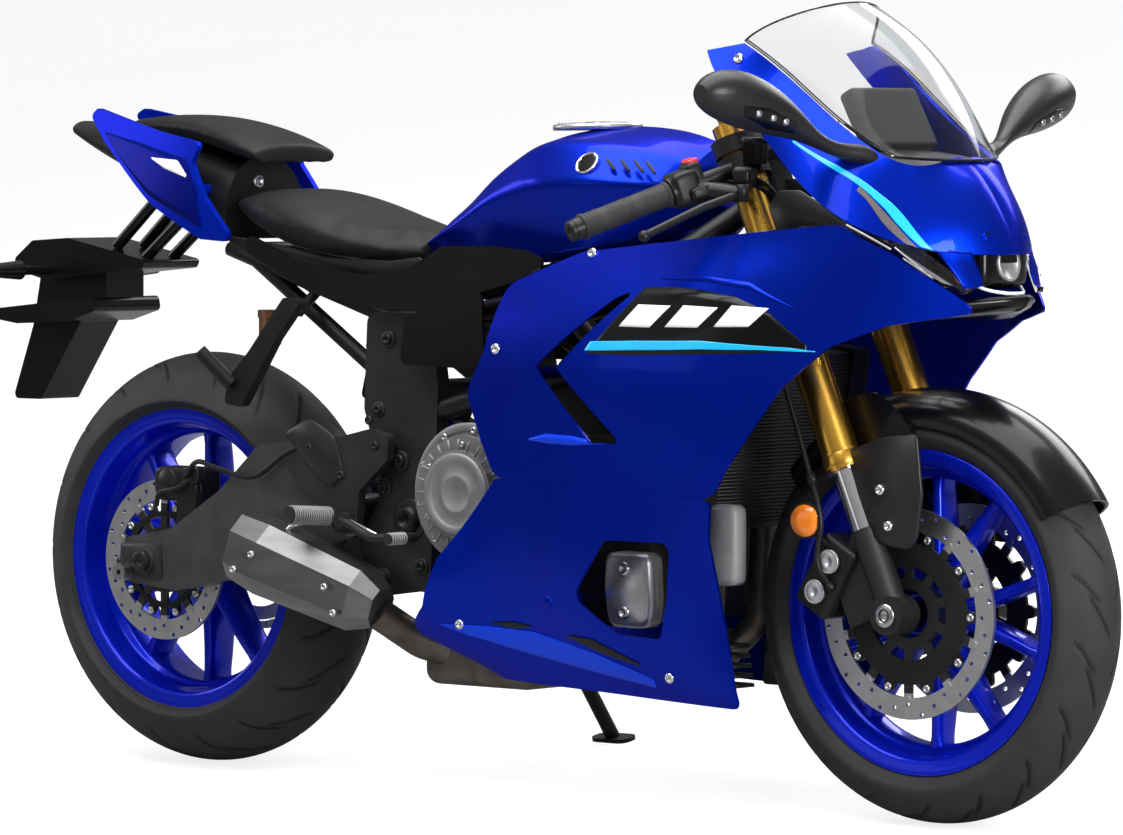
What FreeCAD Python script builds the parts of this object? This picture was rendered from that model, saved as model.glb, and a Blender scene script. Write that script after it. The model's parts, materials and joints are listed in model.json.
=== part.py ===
import FreeCAD
import Part
import math
import os
from FreeCAD import Vector

os.makedirs("parts", exist_ok=True)

# Driving dimensions, millimetres and degrees. The motorcycle is drawn upright, with its
# origin on the ground under the rear axle, +X forward, +Y to its left and +Z up.
wheelbase = 1395
body_height = 1160
fairing_half_width = 262
bar_half_width = 350
rake_angle = 23.67
lean_angle = 10.5
fit_gap = 0.3
running_gap = 0.05
moving_gap = 5
overrun = 20

# Wheels and tyres
front_tyre_radius = 300
front_tyre_crown = 62
front_rim_half_width = 52
rear_tyre_radius = 315
rear_tyre_crown = 93
rear_rim_half_width = 77
rim_flange_radius = 229.3
rim_flange_thickness = 6
rim_flange_depth = 13
rim_well_depth = 30
rim_wall = 6
tyre_wall = 9
tyre_shoulder_angle = 72
front_axle_radius = 12
rear_axle_radius = 12
hub_radius = 34
front_hub_half_width = 48
rear_hub_half_width = 62
spoke_pairs = 5
spoke_width = 17
spoke_depth = 24

# Brakes
front_disc_radius = 149
front_disc_inner_radius = 118
front_disc_offset = 72
rear_disc_radius = 122.5
rear_disc_inner_radius = 92
rear_disc_offset = 112
disc_thickness = 5
carrier_thickness = 5
bobbin_reach = 5
disc_hole_radius = 3.2
disc_hole_count = 36
hub_clearance = hub_radius + fit_gap

# Front fork
fork_spacing = 105
fork_offset = 38
fork_outer_radius = 27
fork_inner_radius = 20.5
fork_outer_low = 218
fork_outer_high = 745
fork_foot_high = 125
stem_radius = 15
head_tube_radius = 30
lower_clamp_reach = 560
upper_clamp_reach = 712
clamp_thickness = 24

# Bodywork walls
panel_wall = 5
screen_wall = 4

rake = math.radians(rake_angle)
lean = math.radians(lean_angle)
across = Vector(0, 1, 0)
upward = Vector(0, 0, 1)
fork_up = Vector(-math.sin(rake), 0, math.cos(rake))
fork_ahead = Vector(math.cos(rake), 0, math.sin(rake))
front_axle = Vector(wheelbase, 0, front_tyre_radius)
rear_axle = Vector(0, 0, rear_tyre_radius)


def place(shares):
    """A point given as shares of the wheelbase, the fairing's half width and the height."""
    along, sideways, high = shares
    return Vector(along * wheelbase, sideways * fairing_half_width, high * body_height)


def side_place(shares, sideways):
    """A point of a side view, shares of the wheelbase and the height, at a given distance."""
    along, high = shares
    return Vector(along * wheelbase, sideways, high * body_height)


def mirrored(shape):
    """The same piece on the other side of the motorcycle."""
    return shape.mirror(Vector(), across)


def both_sides(shape):
    """A piece and its mirror image, as separate solids."""
    return Part.Compound(shape.Solids + mirrored(shape).Solids)


def joined(shapes):
    """One piece made of pieces that overlap."""
    return shapes[0].multiFuse(shapes[1:]).removeSplitter()


def largest(shape):
    """The largest solid that a cut has left."""
    return max(shape.Solids, key=lambda solid: solid.Volume)


def rod(start, end, radius):
    """A round bar between two points."""
    line = end - start
    return Part.makeCylinder(radius, line.Length, start, line)


def cone_rod(start, end, start_radius, end_radius):
    """A round bar that tapers between two points."""
    line = end - start
    return Part.makeCone(start_radius, end_radius, line.Length, start, line)


def cross_rod(centre, radius, half_length):
    """A round bar across the motorcycle, centred on a point."""
    return rod(centre - across * half_length, centre + across * half_length, radius)


def block(centre, length, width, height):
    """A box centred on a point."""
    corner = centre - Vector(length / 2, width / 2, height / 2)
    return Part.makeBox(length, width, height, corner)


def corner_points(before, corner, after, radius):
    """Start, middle and end of the arc that rounds a corner, kept inside its two runs."""
    back = (before - corner) / (before - corner).Length
    ahead = (after - corner) / (after - corner).Length
    half_angle = back.getAngle(ahead) / 2
    room = 0.45 * min((before - corner).Length, (after - corner).Length)
    reach = min(radius / math.tan(half_angle), room)
    middle_line = (back + ahead) / (back + ahead).Length
    arc_radius = reach * math.tan(half_angle)
    middle_reach = arc_radius / math.sin(half_angle) - arc_radius
    return corner + back * reach, corner + middle_line * middle_reach, corner + ahead * reach


def rounded_wire(points, radius, closed):
    """Straight runs joined by tangent arcs."""
    count = len(points)
    inner = range(count) if closed else range(1, count - 1)
    corners = [corner_points(points[i - 1], points[i], points[(i + 1) % count], radius) for i in inner]
    edges = []
    last = corners[-1][2] if closed else points[0]
    for start, middle, end in corners:
        edges.append(Part.makeLine(last, start))
        edges.append(Part.Arc(start, middle, end).toShape())
        last = end
    if not closed:
        edges.append(Part.makeLine(last, points[-1]))
    return Part.Wire(edges)


def side_plate(outline_shares, inner, outer, radius):
    """A plate cut to a side-view outline, between two distances from the middle plane."""
    points = [side_place(shares, inner) for shares in outline_shares]
    face = Part.Face(rounded_wire(points, radius, True))
    return face.extrude(Vector(0, outer - inner, 0))


def bent_tube(points, radius, bend_radius):
    """A round tube along straight runs joined by tangent arcs."""
    path = rounded_wire(points, bend_radius, False)
    circle = Part.makeCircle(radius, points[0], points[1] - points[0])
    return path.makePipeShell([Part.Wire([circle])], True, False)


def spline_surface(rows):
    """A smooth surface through a grid of points."""
    surface = Part.BSplineSurface()
    surface.interpolate(rows)
    return surface


def skin_solid(outer_rows, inner_rows):
    """The solid between two smooth surfaces through grids of the same layout."""
    faces = [spline_surface(outer_rows).toShape(), spline_surface(inner_rows).toShape()]
    outer, inner = [spline_surface(rows) for rows in (outer_rows, inner_rows)]
    low_u, high_u, low_v, high_v = outer.bounds()
    edge_pairs = [
        (outer.uIso(low_u), inner.uIso(low_u)),
        (outer.uIso(high_u), inner.uIso(high_u)),
        (outer.vIso(low_v), inner.vIso(low_v)),
        (outer.vIso(high_v), inner.vIso(high_v)),
    ]
    for outer_edge, inner_edge in edge_pairs:
        faces.append(Part.makeRuledSurface(outer_edge.toShape(), inner_edge.toShape()))
    shell = Part.makeShell(faces)
    shell.sewShape()
    solid = Part.makeSolid(shell)
    if solid.Volume < 0:
        solid.reverse()
    return solid


def grid_points(grid_shares):
    """Rows of points from rows of shares."""
    return [[place(shares) for shares in row] for row in grid_shares]


def side_slab(columns_share, rows_share, width_shares, wall):
    """A curved wall beside the motorcycle: its half width over a side-view grid, made thick."""
    grid = []
    for high, widths in zip(rows_share, width_shares):
        grid.append([place((along, -width, high)) for along, width in zip(columns_share, widths)])
    return spline_surface(grid).toShape().extrude(Vector(0, wall, 0))


tuck_share = 0.86


def crowned_section(along, half_width, low, side_high, high):
    """A closed cross section with a flat floor and a rounded top."""
    corner = Vector(along, -half_width * tuck_share, low)
    points = [
        corner,
        Vector(along, -half_width, side_high),
        Vector(along, -half_width * 0.62, side_high + (high - side_high) * 0.8),
        Vector(along, 0, high),
        Vector(along, half_width * 0.62, side_high + (high - side_high) * 0.8),
        Vector(along, half_width, side_high),
        Vector(along, half_width * tuck_share, low),
    ]
    curve = Part.BSplineCurve()
    curve.interpolate(points)
    return Part.Wire([curve.toShape(), Part.makeLine(points[-1], corner)])


def crowned_body(station_shares):
    """A solid through crowned cross sections: shares of the place, half width and heights."""
    sections = []
    for along, width, low, side_high, high in station_shares:
        sections.append(crowned_section(
            along * wheelbase, width * fairing_half_width,
            low * body_height, side_high * body_height, high * body_height))
    return Part.makeLoft(sections, True, False)


def turned(profile, centre):
    """A solid of revolution about the axle line from (sideways, radius) points or arcs."""
    face = Part.Face(Part.Wire(profile))
    solid = face.revolve(Vector(), across, 360)
    solid.translate(centre)
    return solid


def profile_lines(points):
    """The closed outline of a turned piece from (sideways, radius) pairs."""
    corners = [Vector(0, y, r) for y, r in points]
    corners.append(corners[0])
    return [Part.makeLine(a, b) for a, b in zip(corners, corners[1:])]


def profile_arc(start, middle, end):
    """An arc of a turned piece's outline."""
    ends = [Vector(0, y, r) for y, r in (start, middle, end)]
    return Part.Arc(*ends).toShape()


def disc_ring(centre, outer_radius, inner_radius, thickness):
    """A flat ring square to the axle line."""
    solid = cross_rod(centre, outer_radius, thickness / 2)
    return solid.cut(cross_rod(centre, inner_radius, thickness))


# Wheels

def tyre(centre, radius, crown, rim_half_width):
    """A tyre: round crown, bulging sides and beads seated between the rim's flanges."""
    shoulder = math.radians(tyre_shoulder_angle)
    bead = rim_half_width - rim_flange_thickness - fit_gap
    seat = rim_flange_radius - rim_flange_depth + fit_gap
    lip = rim_flange_radius + fit_gap
    crown_centre = radius - crown
    outer = []
    for spread, reach in ((crown, 0), (crown - tyre_wall, tyre_wall)):
        side = (spread * math.sin(shoulder), crown_centre + spread * math.cos(shoulder))
        foot = (bead - reach, lip + reach / 3)
        bulge = ((side[0] + foot[0]) / 2 + crown / 20, (side[1] + foot[1]) / 2 - crown / 16)
        outer.append((side, bulge, foot, (0, radius - reach)))
    (side, bulge, foot, top), (in_side, in_bulge, in_foot, in_top) = outer

    def flip(point):
        return (-point[0], point[1])

    def line(start, end):
        return Part.makeLine(Vector(0, *start), Vector(0, *end))

    toe = (in_foot[0], seat)
    heel = (bead, seat)
    edges = [
        profile_arc(flip(side), top, side),
        profile_arc(side, bulge, foot),
        line(foot, heel),
        line(heel, toe),
        line(toe, in_foot),
        profile_arc(in_foot, in_bulge, in_side),
        profile_arc(in_side, in_top, flip(in_side)),
        profile_arc(flip(in_side), flip(in_bulge), flip(in_foot)),
        line(flip(in_foot), flip(toe)),
        line(flip(toe), flip(heel)),
        line(flip(heel), flip(foot)),
        profile_arc(flip(foot), flip(bulge), flip(side)),
    ]
    return turned(edges, centre)


def spoke(centre, hub_offset, rim_offset, angle, reach, half_depth):
    """One tapered spoke from the hub to the rim's well, turned to its place."""
    root = hub_radius * 0.6
    sections = []
    for radius, offset, width, depth in (
            (root, hub_offset, spoke_width, half_depth),
            (reach, rim_offset, spoke_width * 0.75, half_depth * 0.7)):
        corners = [
            Vector(offset - width / 2, -depth, radius),
            Vector(offset + width / 2, -depth, radius),
            Vector(offset + width / 2, depth, radius),
            Vector(offset - width / 2, depth, radius),
        ]
        sections.append(Part.makePolygon(corners + corners[:1]))
    solid = Part.makeLoft(sections, True, True)
    solid.rotate(Vector(), across, angle)
    solid.translate(centre)
    return solid


def rim(centre, half_width, hub_half_width, axle_radius):
    """A cast wheel: drop-centre rim, hub and five forked spokes."""
    flange = rim_flange_radius
    seat = flange - rim_flange_depth
    well = flange - rim_well_depth
    inner = half_width - rim_flange_thickness
    outline = [
        (half_width, flange), (inner, flange), (inner, seat), (inner * 0.62, seat - rim_wall / 3),
        (inner * 0.4, well), (-inner * 0.4, well), (-inner * 0.62, seat - rim_wall / 3),
        (-inner, seat), (-inner, flange), (-half_width, flange), (-half_width, seat + rim_wall / 2),
        (-inner, seat - rim_wall), (-inner * 0.66, seat - rim_wall * 1.6),
        (-inner * 0.36, well - rim_wall), (inner * 0.36, well - rim_wall),
        (inner * 0.66, seat - rim_wall * 1.6), (inner, seat - rim_wall),
        (half_width, seat + rim_wall / 2),
    ]
    pieces = [turned(profile_lines(outline), centre)]
    pieces.append(cross_rod(centre, hub_radius, hub_half_width))
    for number in range(spoke_pairs):
        angle = 360 / spoke_pairs * number
        for side in (-1, 1):
            pieces.append(spoke(
                centre, side * hub_radius * 0.34, side * hub_radius * 1.25, angle,
                well - rim_wall / 2, spoke_depth / 2))
    wheel = joined(pieces)
    return wheel.cut(cross_rod(centre, axle_radius + running_gap, half_width * 2))


def floating_disc(centre, outer_radius, inner_radius):
    """A brake disc on its carrier: ring, arms with bobbins and a bolted centre."""
    ring = disc_ring(centre, outer_radius, inner_radius, disc_thickness)
    holes = []
    for number in range(disc_hole_count):
        share = (0.3, 0.55, 0.8)[number % 3]
        spot = centre + upward * (inner_radius + (outer_radius - inner_radius) * share)
        hole = cross_rod(spot, disc_hole_radius, disc_thickness)
        hole.rotate(centre, across, 360 / disc_hole_count * number)
        holes.append(hole)
    ring = ring.cut(holes)
    middle = disc_ring(centre, hub_radius * 1.5, hub_clearance, carrier_thickness)
    arms = []
    for number in range(2 * spoke_pairs):
        angle = 180 / spoke_pairs * number
        arm = Part.makeBox(
            hub_radius * 0.4, carrier_thickness, inner_radius - hub_radius * 1.2,
            Vector(-hub_radius * 0.2, -carrier_thickness / 2, hub_radius * 1.3))
        bobbin = cross_rod(Vector(0, 0, inner_radius + disc_thickness / 2), bobbin_reach,
            disc_thickness * 0.8)
        for piece in (arm, bobbin):
            piece.rotate(Vector(), across, angle)
            piece.translate(centre)
            arms.append(piece)
    return joined([ring, middle] + arms)


def front_discs():
    """Two floating discs, one each side of the front wheel."""
    side = front_axle - across * front_disc_offset
    disc = floating_disc(side, front_disc_radius, front_disc_inner_radius)
    boss = disc_ring(
        front_axle - across * (front_disc_offset + front_hub_half_width) / 2,
        hub_radius * 1.35, hub_clearance, front_disc_offset - front_hub_half_width)
    return both_sides(disc.fuse(boss))


def rear_disc():
    """The single rear disc on its hub boss, on the right side."""
    side = rear_axle - across * rear_disc_offset
    disc = floating_disc(side, rear_disc_radius, rear_disc_inner_radius)
    boss = disc_ring(
        rear_axle - across * (rear_disc_offset + rear_hub_half_width) / 2,
        hub_radius * 1.35, hub_clearance, rear_disc_offset - rear_hub_half_width)
    return disc.fuse(boss)


# Final drive
drive_offset = 100
chain_width = 12
chain_height = 14
rear_sprocket_radius = 104
front_sprocket_radius = 40
front_sprocket_shares = (0.4373, 0.3534)


def rear_sprocket():
    """The driven sprocket on its carrier, on the left side."""
    side = rear_axle + across * drive_offset
    ring = disc_ring(side, rear_sprocket_radius, rear_sprocket_radius * 0.8, disc_thickness)
    middle = disc_ring(side, hub_radius * 1.6, hub_clearance, disc_thickness)
    arms = []
    for number in range(spoke_pairs):
        arm = block(side + upward * rear_sprocket_radius * 0.65, hub_radius * 0.8, disc_thickness,
                    rear_sprocket_radius * 0.42)
        arm.rotate(rear_axle, across, 360 / spoke_pairs * number)
        arms.append(arm)
    boss = disc_ring(
        rear_axle + across * (drive_offset + rear_hub_half_width) / 2,
        hub_radius * 1.35, hub_clearance, drive_offset - rear_hub_half_width)
    return joined([ring, middle, boss] + arms)


def belt_face(grow):
    """The face inside a belt line round both sprockets, grown outwards."""
    front = side_place(front_sprocket_shares, drive_offset)
    rear = rear_axle + across * drive_offset
    line = front - rear
    slope = math.atan2(line.z, line.x)
    large = rear_sprocket_radius + grow
    small = front_sprocket_radius + grow
    lift = math.acos((large - small) / line.Length)

    def rim_point(centre, radius, angle):
        return centre + Vector(math.cos(angle) * radius, 0, math.sin(angle) * radius)

    top, bottom, far = slope + lift, slope - lift, slope + math.pi
    edges = [
        Part.makeLine(rim_point(rear, large, top), rim_point(front, small, top)),
        Part.Arc(rim_point(front, small, top), rim_point(front, small, slope),
                 rim_point(front, small, bottom)).toShape(),
        Part.makeLine(rim_point(front, small, bottom), rim_point(rear, large, bottom)),
        Part.Arc(rim_point(rear, large, bottom), rim_point(rear, large, far),
                 rim_point(rear, large, top)).toShape(),
    ]
    return Part.Face(Part.Wire(edges))


chain_inner_height = 2


def chain():
    """The drive chain as one loop round both sprockets."""
    loop = belt_face(chain_height).cut(belt_face(chain_inner_height))
    solid = loop.extrude(across * chain_width)
    solid.translate(across * (-chain_width / 2))
    return solid


# Front fork and what turns with it

def fork_point(reach, ahead, sideways):
    """A point by its reach up the fork from the front axle, ahead of the fork's own line."""
    return front_axle + fork_up * reach + fork_ahead * ahead + across * sideways


fork_cap_height = 14
fork_cap_sink = 1
fork_collar_height = 26


def fork_tubes():
    """The two gold outer tubes with their caps and adjusters."""
    tube = rod(fork_point(fork_outer_low, 0, -fork_spacing),
        fork_point(fork_outer_high, 0, -fork_spacing),
               fork_outer_radius)
    cap = rod(fork_point(fork_outer_high - fork_cap_sink, 0, -fork_spacing),
              fork_point(fork_outer_high + fork_cap_height, 0, -fork_spacing),
              fork_outer_radius * 0.55)
    collar = rod(fork_point(fork_outer_low, 0, -fork_spacing),
                 fork_point(fork_outer_low + fork_collar_height, 0, -fork_spacing),
                 fork_outer_radius * 1.08)
    return both_sides(joined([tube, cap, collar]))


lug_reach = 60
lug_back = 42
lug_length = 62
lug_width = 22
lug_height = 104
fork_foot_low = 10
fork_foot_radius = fork_inner_radius * 1.09
axle_boss_half_length = 22
axle_wall = 4


def caliper_lug(grow):
    """The ear behind a fork foot that carries the brake caliper."""
    centre = fork_point(lug_reach, 0, -fork_spacing)
    lug = block(centre - Vector(lug_back, 0, 0), lug_length + 2 * grow, lug_width + 2 * grow,
                lug_height + 2 * grow)
    lug.rotate(centre, across, -rake_angle)
    return lug


def fork_legs():
    """The chromed inner tubes with the cast feet that hold the axle and the brake calipers."""
    inner = rod(fork_point(0, 0, -fork_spacing), fork_point(fork_outer_low - fit_gap, 0, -fork_spacing),
                fork_inner_radius)
    foot = rod(fork_point(fork_foot_low, 0, -fork_spacing),
        fork_point(fork_foot_high, 0, -fork_spacing),
               fork_foot_radius)
    axle_boss = cross_rod(fork_point(0, 0, -fork_spacing), fork_inner_radius * 1.35,
                         axle_boss_half_length)
    lug = caliper_lug(0)
    axle = cross_rod(front_axle, front_axle_radius, fork_spacing + fork_outer_radius)
    legs = joined([inner, foot, axle_boss, lug])
    pair = joined([legs, mirrored(legs), axle])
    return pair.cut(cross_rod(front_axle, front_axle_radius - axle_wall, bar_half_width))


def triple_clamps():
    """Upper and lower fork clamps with the steering stem between them."""
    pieces = []
    for reach in (lower_clamp_reach, upper_clamp_reach):
        middle = fork_point(reach, 0, 0)
        for side in (-1, 1):
            ring = rod(fork_point(reach - clamp_thickness / 2, 0, side * fork_spacing),
                       fork_point(reach + clamp_thickness / 2, 0, side * fork_spacing),
                       fork_outer_radius * 1.35)
            pieces.append(ring)
        web = Part.makeBox(fork_outer_radius * 2.2, fork_spacing * 2, clamp_thickness)
        web.translate(Vector(-fork_outer_radius * 1.5, -fork_spacing, -clamp_thickness / 2))
        web.rotate(Vector(), across, -rake_angle)
        web.translate(middle)
        pieces.append(web)
    stem = rod(fork_point(lower_clamp_reach - clamp_thickness, -fork_offset, 0),
               fork_point(upper_clamp_reach + clamp_thickness, -fork_offset, 0), stem_radius)
    pieces.append(stem)
    clamps = joined(pieces)
    for side in (-1, 1):
        clamps = clamps.cut(rod(fork_point(fork_foot_high, 0, side * fork_spacing),
                                fork_point(fork_outer_high, 0, side * fork_spacing),
                                fork_outer_radius + fit_gap))
    bore = rod(fork_point(lower_clamp_reach - clamp_thickness - overrun, -fork_offset, 0),
               fork_point(upper_clamp_reach + clamp_thickness + overrun, -fork_offset, 0),
               stem_bore_radius)
    return clamps.cut(bore)


stem_bore_radius = 9
fender_gap = 12
fender_half_width = 66
fender_wall = 4
guard_edge = 12
fender_rear_angle = 40
fender_front_angle = 58


def front_fender():
    """The arched front mudguard with its guards down to the fork legs."""
    radius = front_tyre_radius + fender_gap
    crown = (0, radius + fender_wall)
    shoulder = (fender_half_width * 0.8, radius - fender_half_width * 0.22)
    side = (fender_half_width, radius - fender_half_width * 0.75)
    inner_side = (fender_half_width - fender_wall, side[1])
    inner_crown = (0, radius)

    def flip(point):
        return (-point[0], point[1])

    outline = Part.BSplineCurve()
    outline.interpolate([Vector(0, *p) for p in (flip(side), flip(shoulder), crown, shoulder, side)])
    inner_shoulder = (shoulder[0] - fender_wall, shoulder[1] - fender_wall)
    inner = Part.BSplineCurve()
    inner.interpolate([Vector(0, *p) for p in
                       (inner_side, inner_shoulder, inner_crown, flip(inner_shoulder),
                       flip(inner_side))])
    edges = [
        outline.toShape(),
        Part.makeLine(Vector(0, *side), Vector(0, *inner_side)),
        inner.toShape(),
        Part.makeLine(Vector(0, *flip(inner_side)), Vector(0, *flip(side))),
    ]
    face = Part.Face(Part.Wire(edges))
    sweep_angle = 180 - fender_rear_angle - (90 - fender_front_angle)
    arch = face.revolve(Vector(), across, sweep_angle)
    arch.rotate(Vector(), across, -(90 - fender_rear_angle))
    arch.translate(front_axle)
    guard = side_plate(fender_guard_shares, -fork_spacing + fork_outer_radius * 1.08 + fit_gap,
                       -fender_half_width + fender_wall / 2, guard_edge)
    return joined([arch, guard, mirrored(guard)])


fender_guard_shares = [(0.8996, 0.5086), (0.9534, 0.5259), (1.0036, 0.4828), (0.9892, 0.4138),
    (0.9534, 0.3793), (0.9176, 0.4052)]


caliper_back = 108
caliper_rise = 50
caliper_outside = 18
caliper_length = 62
caliper_width = 78
caliper_height = 112
caliper_angle = 30
caliper_edge = 8
piston_radius = 17
piston_cap = 5
piston_spread = 25


def front_calipers():
    """Radial brake calipers behind the fork feet, each slotted for its disc."""
    centre = front_axle + Vector(-caliper_back, 0,
        caliper_rise) - across * (front_disc_offset + caliper_outside)
    body = block(centre, caliper_length, caliper_width, caliper_height)
    body = body.makeFillet(caliper_edge, body.Edges)
    caps = []
    for side in (-1, 1):
        spot = centre + upward * side * piston_spread - across * caliper_width / 2
        caps.append(rod(spot + across * piston_cap, spot - across * piston_cap, piston_radius))
    body = joined([body] + caps)
    body.rotate(centre, across, caliper_angle)
    slot = cross_rod(front_axle - across * front_disc_offset, front_disc_radius + moving_gap,
                     bobbin_reach + moving_gap)
    foot = rod(fork_point(0, 0, -fork_spacing), fork_point(fork_foot_high, 0, -fork_spacing),
               fork_foot_radius + fit_gap)
    return both_sides(largest(body.cut(slot).cut(caliper_lug(fit_gap)).cut(foot)))


# Controls
bar_radius = 11
grip_radius = 16
grip_start_share = 0.64
lever_radius = 6
bar_root_shares = (0.8057, -0.5191, 0.7931)
bar_end_shares = (0.7254, -1.3359, 0.7198)
lever_shares = [(0.8358, -0.6565, 0.7638), (0.8258, -0.8969, 0.7483), (0.805, -1.2595, 0.7138)]
lever_bend = 60
bar_clamp_reach = 662
bar_clamp_height = 34
control_radius = grip_radius * 1.35


def handlebars():
    """Clip-on bars with grips, switch housings, levers and their clamps."""
    root = place(bar_root_shares)
    end = place(bar_end_shares)
    bar = rod(root, end, bar_radius)
    start = root + (end - root) * grip_start_share * 0.6
    grip = rod(start, end, grip_radius)
    housing = rod(root + (end - root) * 0.2, root + (end - root) * 0.4, control_radius)
    lever = bent_tube([place(shares) for shares in lever_shares], lever_radius, lever_bend)
    ball = Part.makeSphere(lever_radius * 1.4, place(lever_shares[-1]))
    holder = rod(root + (end - root) * 0.3, place(lever_shares[0]), lever_radius * 2)
    ring_low = fork_point(bar_clamp_reach, 0, -fork_spacing)
    ring = rod(ring_low, ring_low + fork_up * bar_clamp_height, fork_outer_radius * 1.3)
    bars = joined([bar, grip, housing, lever, ball, holder, ring])
    return both_sides(bars.cut(rod(ring_low - fork_up * bar_half_width,
        ring_low + fork_up * bar_half_width,
                                   fork_outer_radius + fit_gap)))


# Frame and running gear
frame_tube_radius = 17
frame_bend = 90
head_gap = 2
pivot_shares = (0.3735, 0.344)
swingarm_inner = 124
swingarm_outer = 152
plate_inner = 112
plate_outer = 138


def plate_place(shares, side):
    """A point given as shares of the wheelbase, the frame plates' reach and the height."""
    along, sideways, high = shares
    return Vector(along * wheelbase, side * sideways * plate_outer, high * body_height)


def frame_tubes(radius):
    """The bent tubes of the main frame on both sides, and the tubes across."""
    pieces = []
    for side in (-1, 1):
        for route in frame_route_shares:
            pieces.append(bent_tube([plate_place(shares, side) for shares in route], radius,
                frame_bend))
        for reach_share, route in zip(head_joint_shares, head_route_shares):
            reach = lower_clamp_reach + (upper_clamp_reach - lower_clamp_reach) * reach_share
            root = fork_point(reach, -fork_offset, side * head_tube_radius / 2)
            points = [root] + [plate_place(shares, side) for shares in route]
            pieces.append(bent_tube(points, radius, frame_bend))
    for shares in frame_cross_shares:
        point = plate_place(shares, 1)
        pieces.append(cross_rod(Vector(point.x, 0, point.z), radius * 0.8, point.y))
    return pieces


def main_frame():
    """The tubular main frame from the steering head to the pivot plates."""
    head_low = fork_point(lower_clamp_reach + clamp_thickness / 2 + head_gap, -fork_offset, 0)
    head_high = fork_point(upper_clamp_reach - clamp_thickness / 2 - head_gap, -fork_offset, 0)
    head = rod(head_low, head_high, head_tube_radius)
    frame = joined([head] + frame_tubes(frame_tube_radius))
    return frame.cut(rod(head_low - fork_up * overrun, head_high + fork_up * overrun,
                         stem_radius + running_gap))


head_joint_shares = [0.62, 0.36]
head_route_shares = [
    [(0.7240, 0.7536, 0.6897), (0.5735, 0.9565, 0.6336), (0.4014, 0.8841, 0.5948),
    (0.3441, 0.8551, 0.4828)],
    [(0.7384, 0.7536, 0.6379), (0.6452, 0.9275, 0.5517), (0.5161, 0.9275, 0.5172),
    (0.4014, 0.8696, 0.4828)],
]
frame_route_shares = [
    [(0.4014, 0.8841, 0.5948), (0.5161, 0.9275, 0.5172)],
    [(0.5735, 0.9565, 0.6336), (0.6452, 0.9275, 0.5517)],
]
frame_cross_shares = [(0.4014, 0.8841, 0.5948), (0.7254, 0.7536, 0.6483), (0.3584, 0.8551, 0.5086)]
plate_edge = 18
pivot_radius = 14
lower_cross_shares = (0.3763, 0.2603)
lower_cross_radius = 12
lug_edge = 8
stand_pin_radius = 8
stand_pin_inside = 30
stand_pin_outside = 14


def frame_plates():
    """The cast plates each side of the swingarm pivot, with the stand's lug on the left."""
    plate = side_plate(frame_plate_shares, -plate_outer, -plate_inner, plate_edge)
    pivot = cross_rod(side_place(pivot_shares, 0), pivot_radius, plate_inner + fit_gap)
    cross = cross_rod(side_place(lower_cross_shares, 0), lower_cross_radius, plate_inner + fit_gap)
    pair = joined([plate, mirrored(plate), pivot, cross])
    lug = side_plate(stand_lug_shares, plate_inner, plate_outer, lug_edge)
    pin = rod(place(stand_pivot_shares) - stand_axis * stand_pin_inside,
              place(stand_pivot_shares) + stand_axis * stand_pin_outside, stand_pin_radius)
    plates = joined([pair, lug, pin])
    for tube in frame_tubes(frame_tube_radius + fit_gap):
        plates = plates.cut(tube)
    return plates


frame_plate_shares = [
    (0.3125, 0.6069), (0.4007, 0.606), (0.4122, 0.5172), (0.4086, 0.4052), (0.405, 0.3276),
    (0.4014, 0.2552), (0.3197, 0.2414), (0.3011, 0.3103), (0.3369, 0.3793), (0.3082, 0.4828)]
stand_lug_shares = [(0.3226, 0.2845), (0.4029, 0.2845), (0.4122, 0.1853), (0.3763, 0.1767)]
stand_pivot_shares = (0.3928, 0.6107, 0.2034)
stand_down = Vector(0.10, 0.48, -0.87)
stand_back = Vector(-0.995, 0.07, -0.02)
stand_axis = stand_down.cross(stand_back) / stand_down.cross(stand_back).Length
stand_radius = 11
stand_foot_length = 70
stand_foot_width = 38
stand_foot_thickness = 6
stand_foot_share = 0.4143
stand_foot_sideways = 268
stand_eye_radius = 19
stand_eye_half_length = 8


def stand_foot_centre():
    """The middle of the stand's foot, on the ground when the motorcycle leans on it."""
    along = stand_foot_share * wheelbase
    sideways = stand_foot_sideways
    return Vector(along, sideways, sideways * math.tan(lean) - ground_drop(along) / math.cos(lean))


def side_stand():
    """The side stand: eye on its pin, leg and foot plate that lies flat on the ground."""
    pivot = place(stand_pivot_shares)
    foot = stand_foot_centre()
    lift = Vector(0, -math.sin(lean), math.cos(lean))
    sole = Part.makeBox(stand_foot_length, stand_foot_width, stand_foot_thickness,
                        Vector(-stand_foot_length / 2, -stand_foot_width / 2, 0))
    sole = sole.makeFillet(stand_foot_width * 0.4,
        [sole.Edges[0], sole.Edges[2], sole.Edges[4], sole.Edges[6]])
    sole.rotate(Vector(), Vector(1, 0, 0), lean_angle)
    sole.translate(foot)
    eye = rod(pivot - stand_axis * stand_eye_half_length,
        pivot + stand_axis * stand_eye_half_length, stand_eye_radius)
    leg = rod(pivot + (foot - pivot) * 0.05, foot + lift * stand_foot_thickness * 0.5, stand_radius)
    stand = joined([eye, leg, sole])
    below = Part.makeBox(bar_half_width, bar_half_width, bar_half_width,
                         Vector(-bar_half_width / 2, -bar_half_width / 2, -bar_half_width))
    below.rotate(Vector(), Vector(1, 0, 0), lean_angle)
    below.translate(foot)
    stand = stand.cut(below)
    return stand.cut(rod(pivot - stand_axis * overrun * 2, pivot + stand_axis * overrun * 2,
                         stand_pin_radius + running_gap))


arm_edge = 16
cross_edge = 12
neck_edge = 14
pivot_boss_radius = 30
axle_end = 12
axle_nut_radius = 19
axle_nut_half_length = 8
axle_nut_outside = 2


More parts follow.
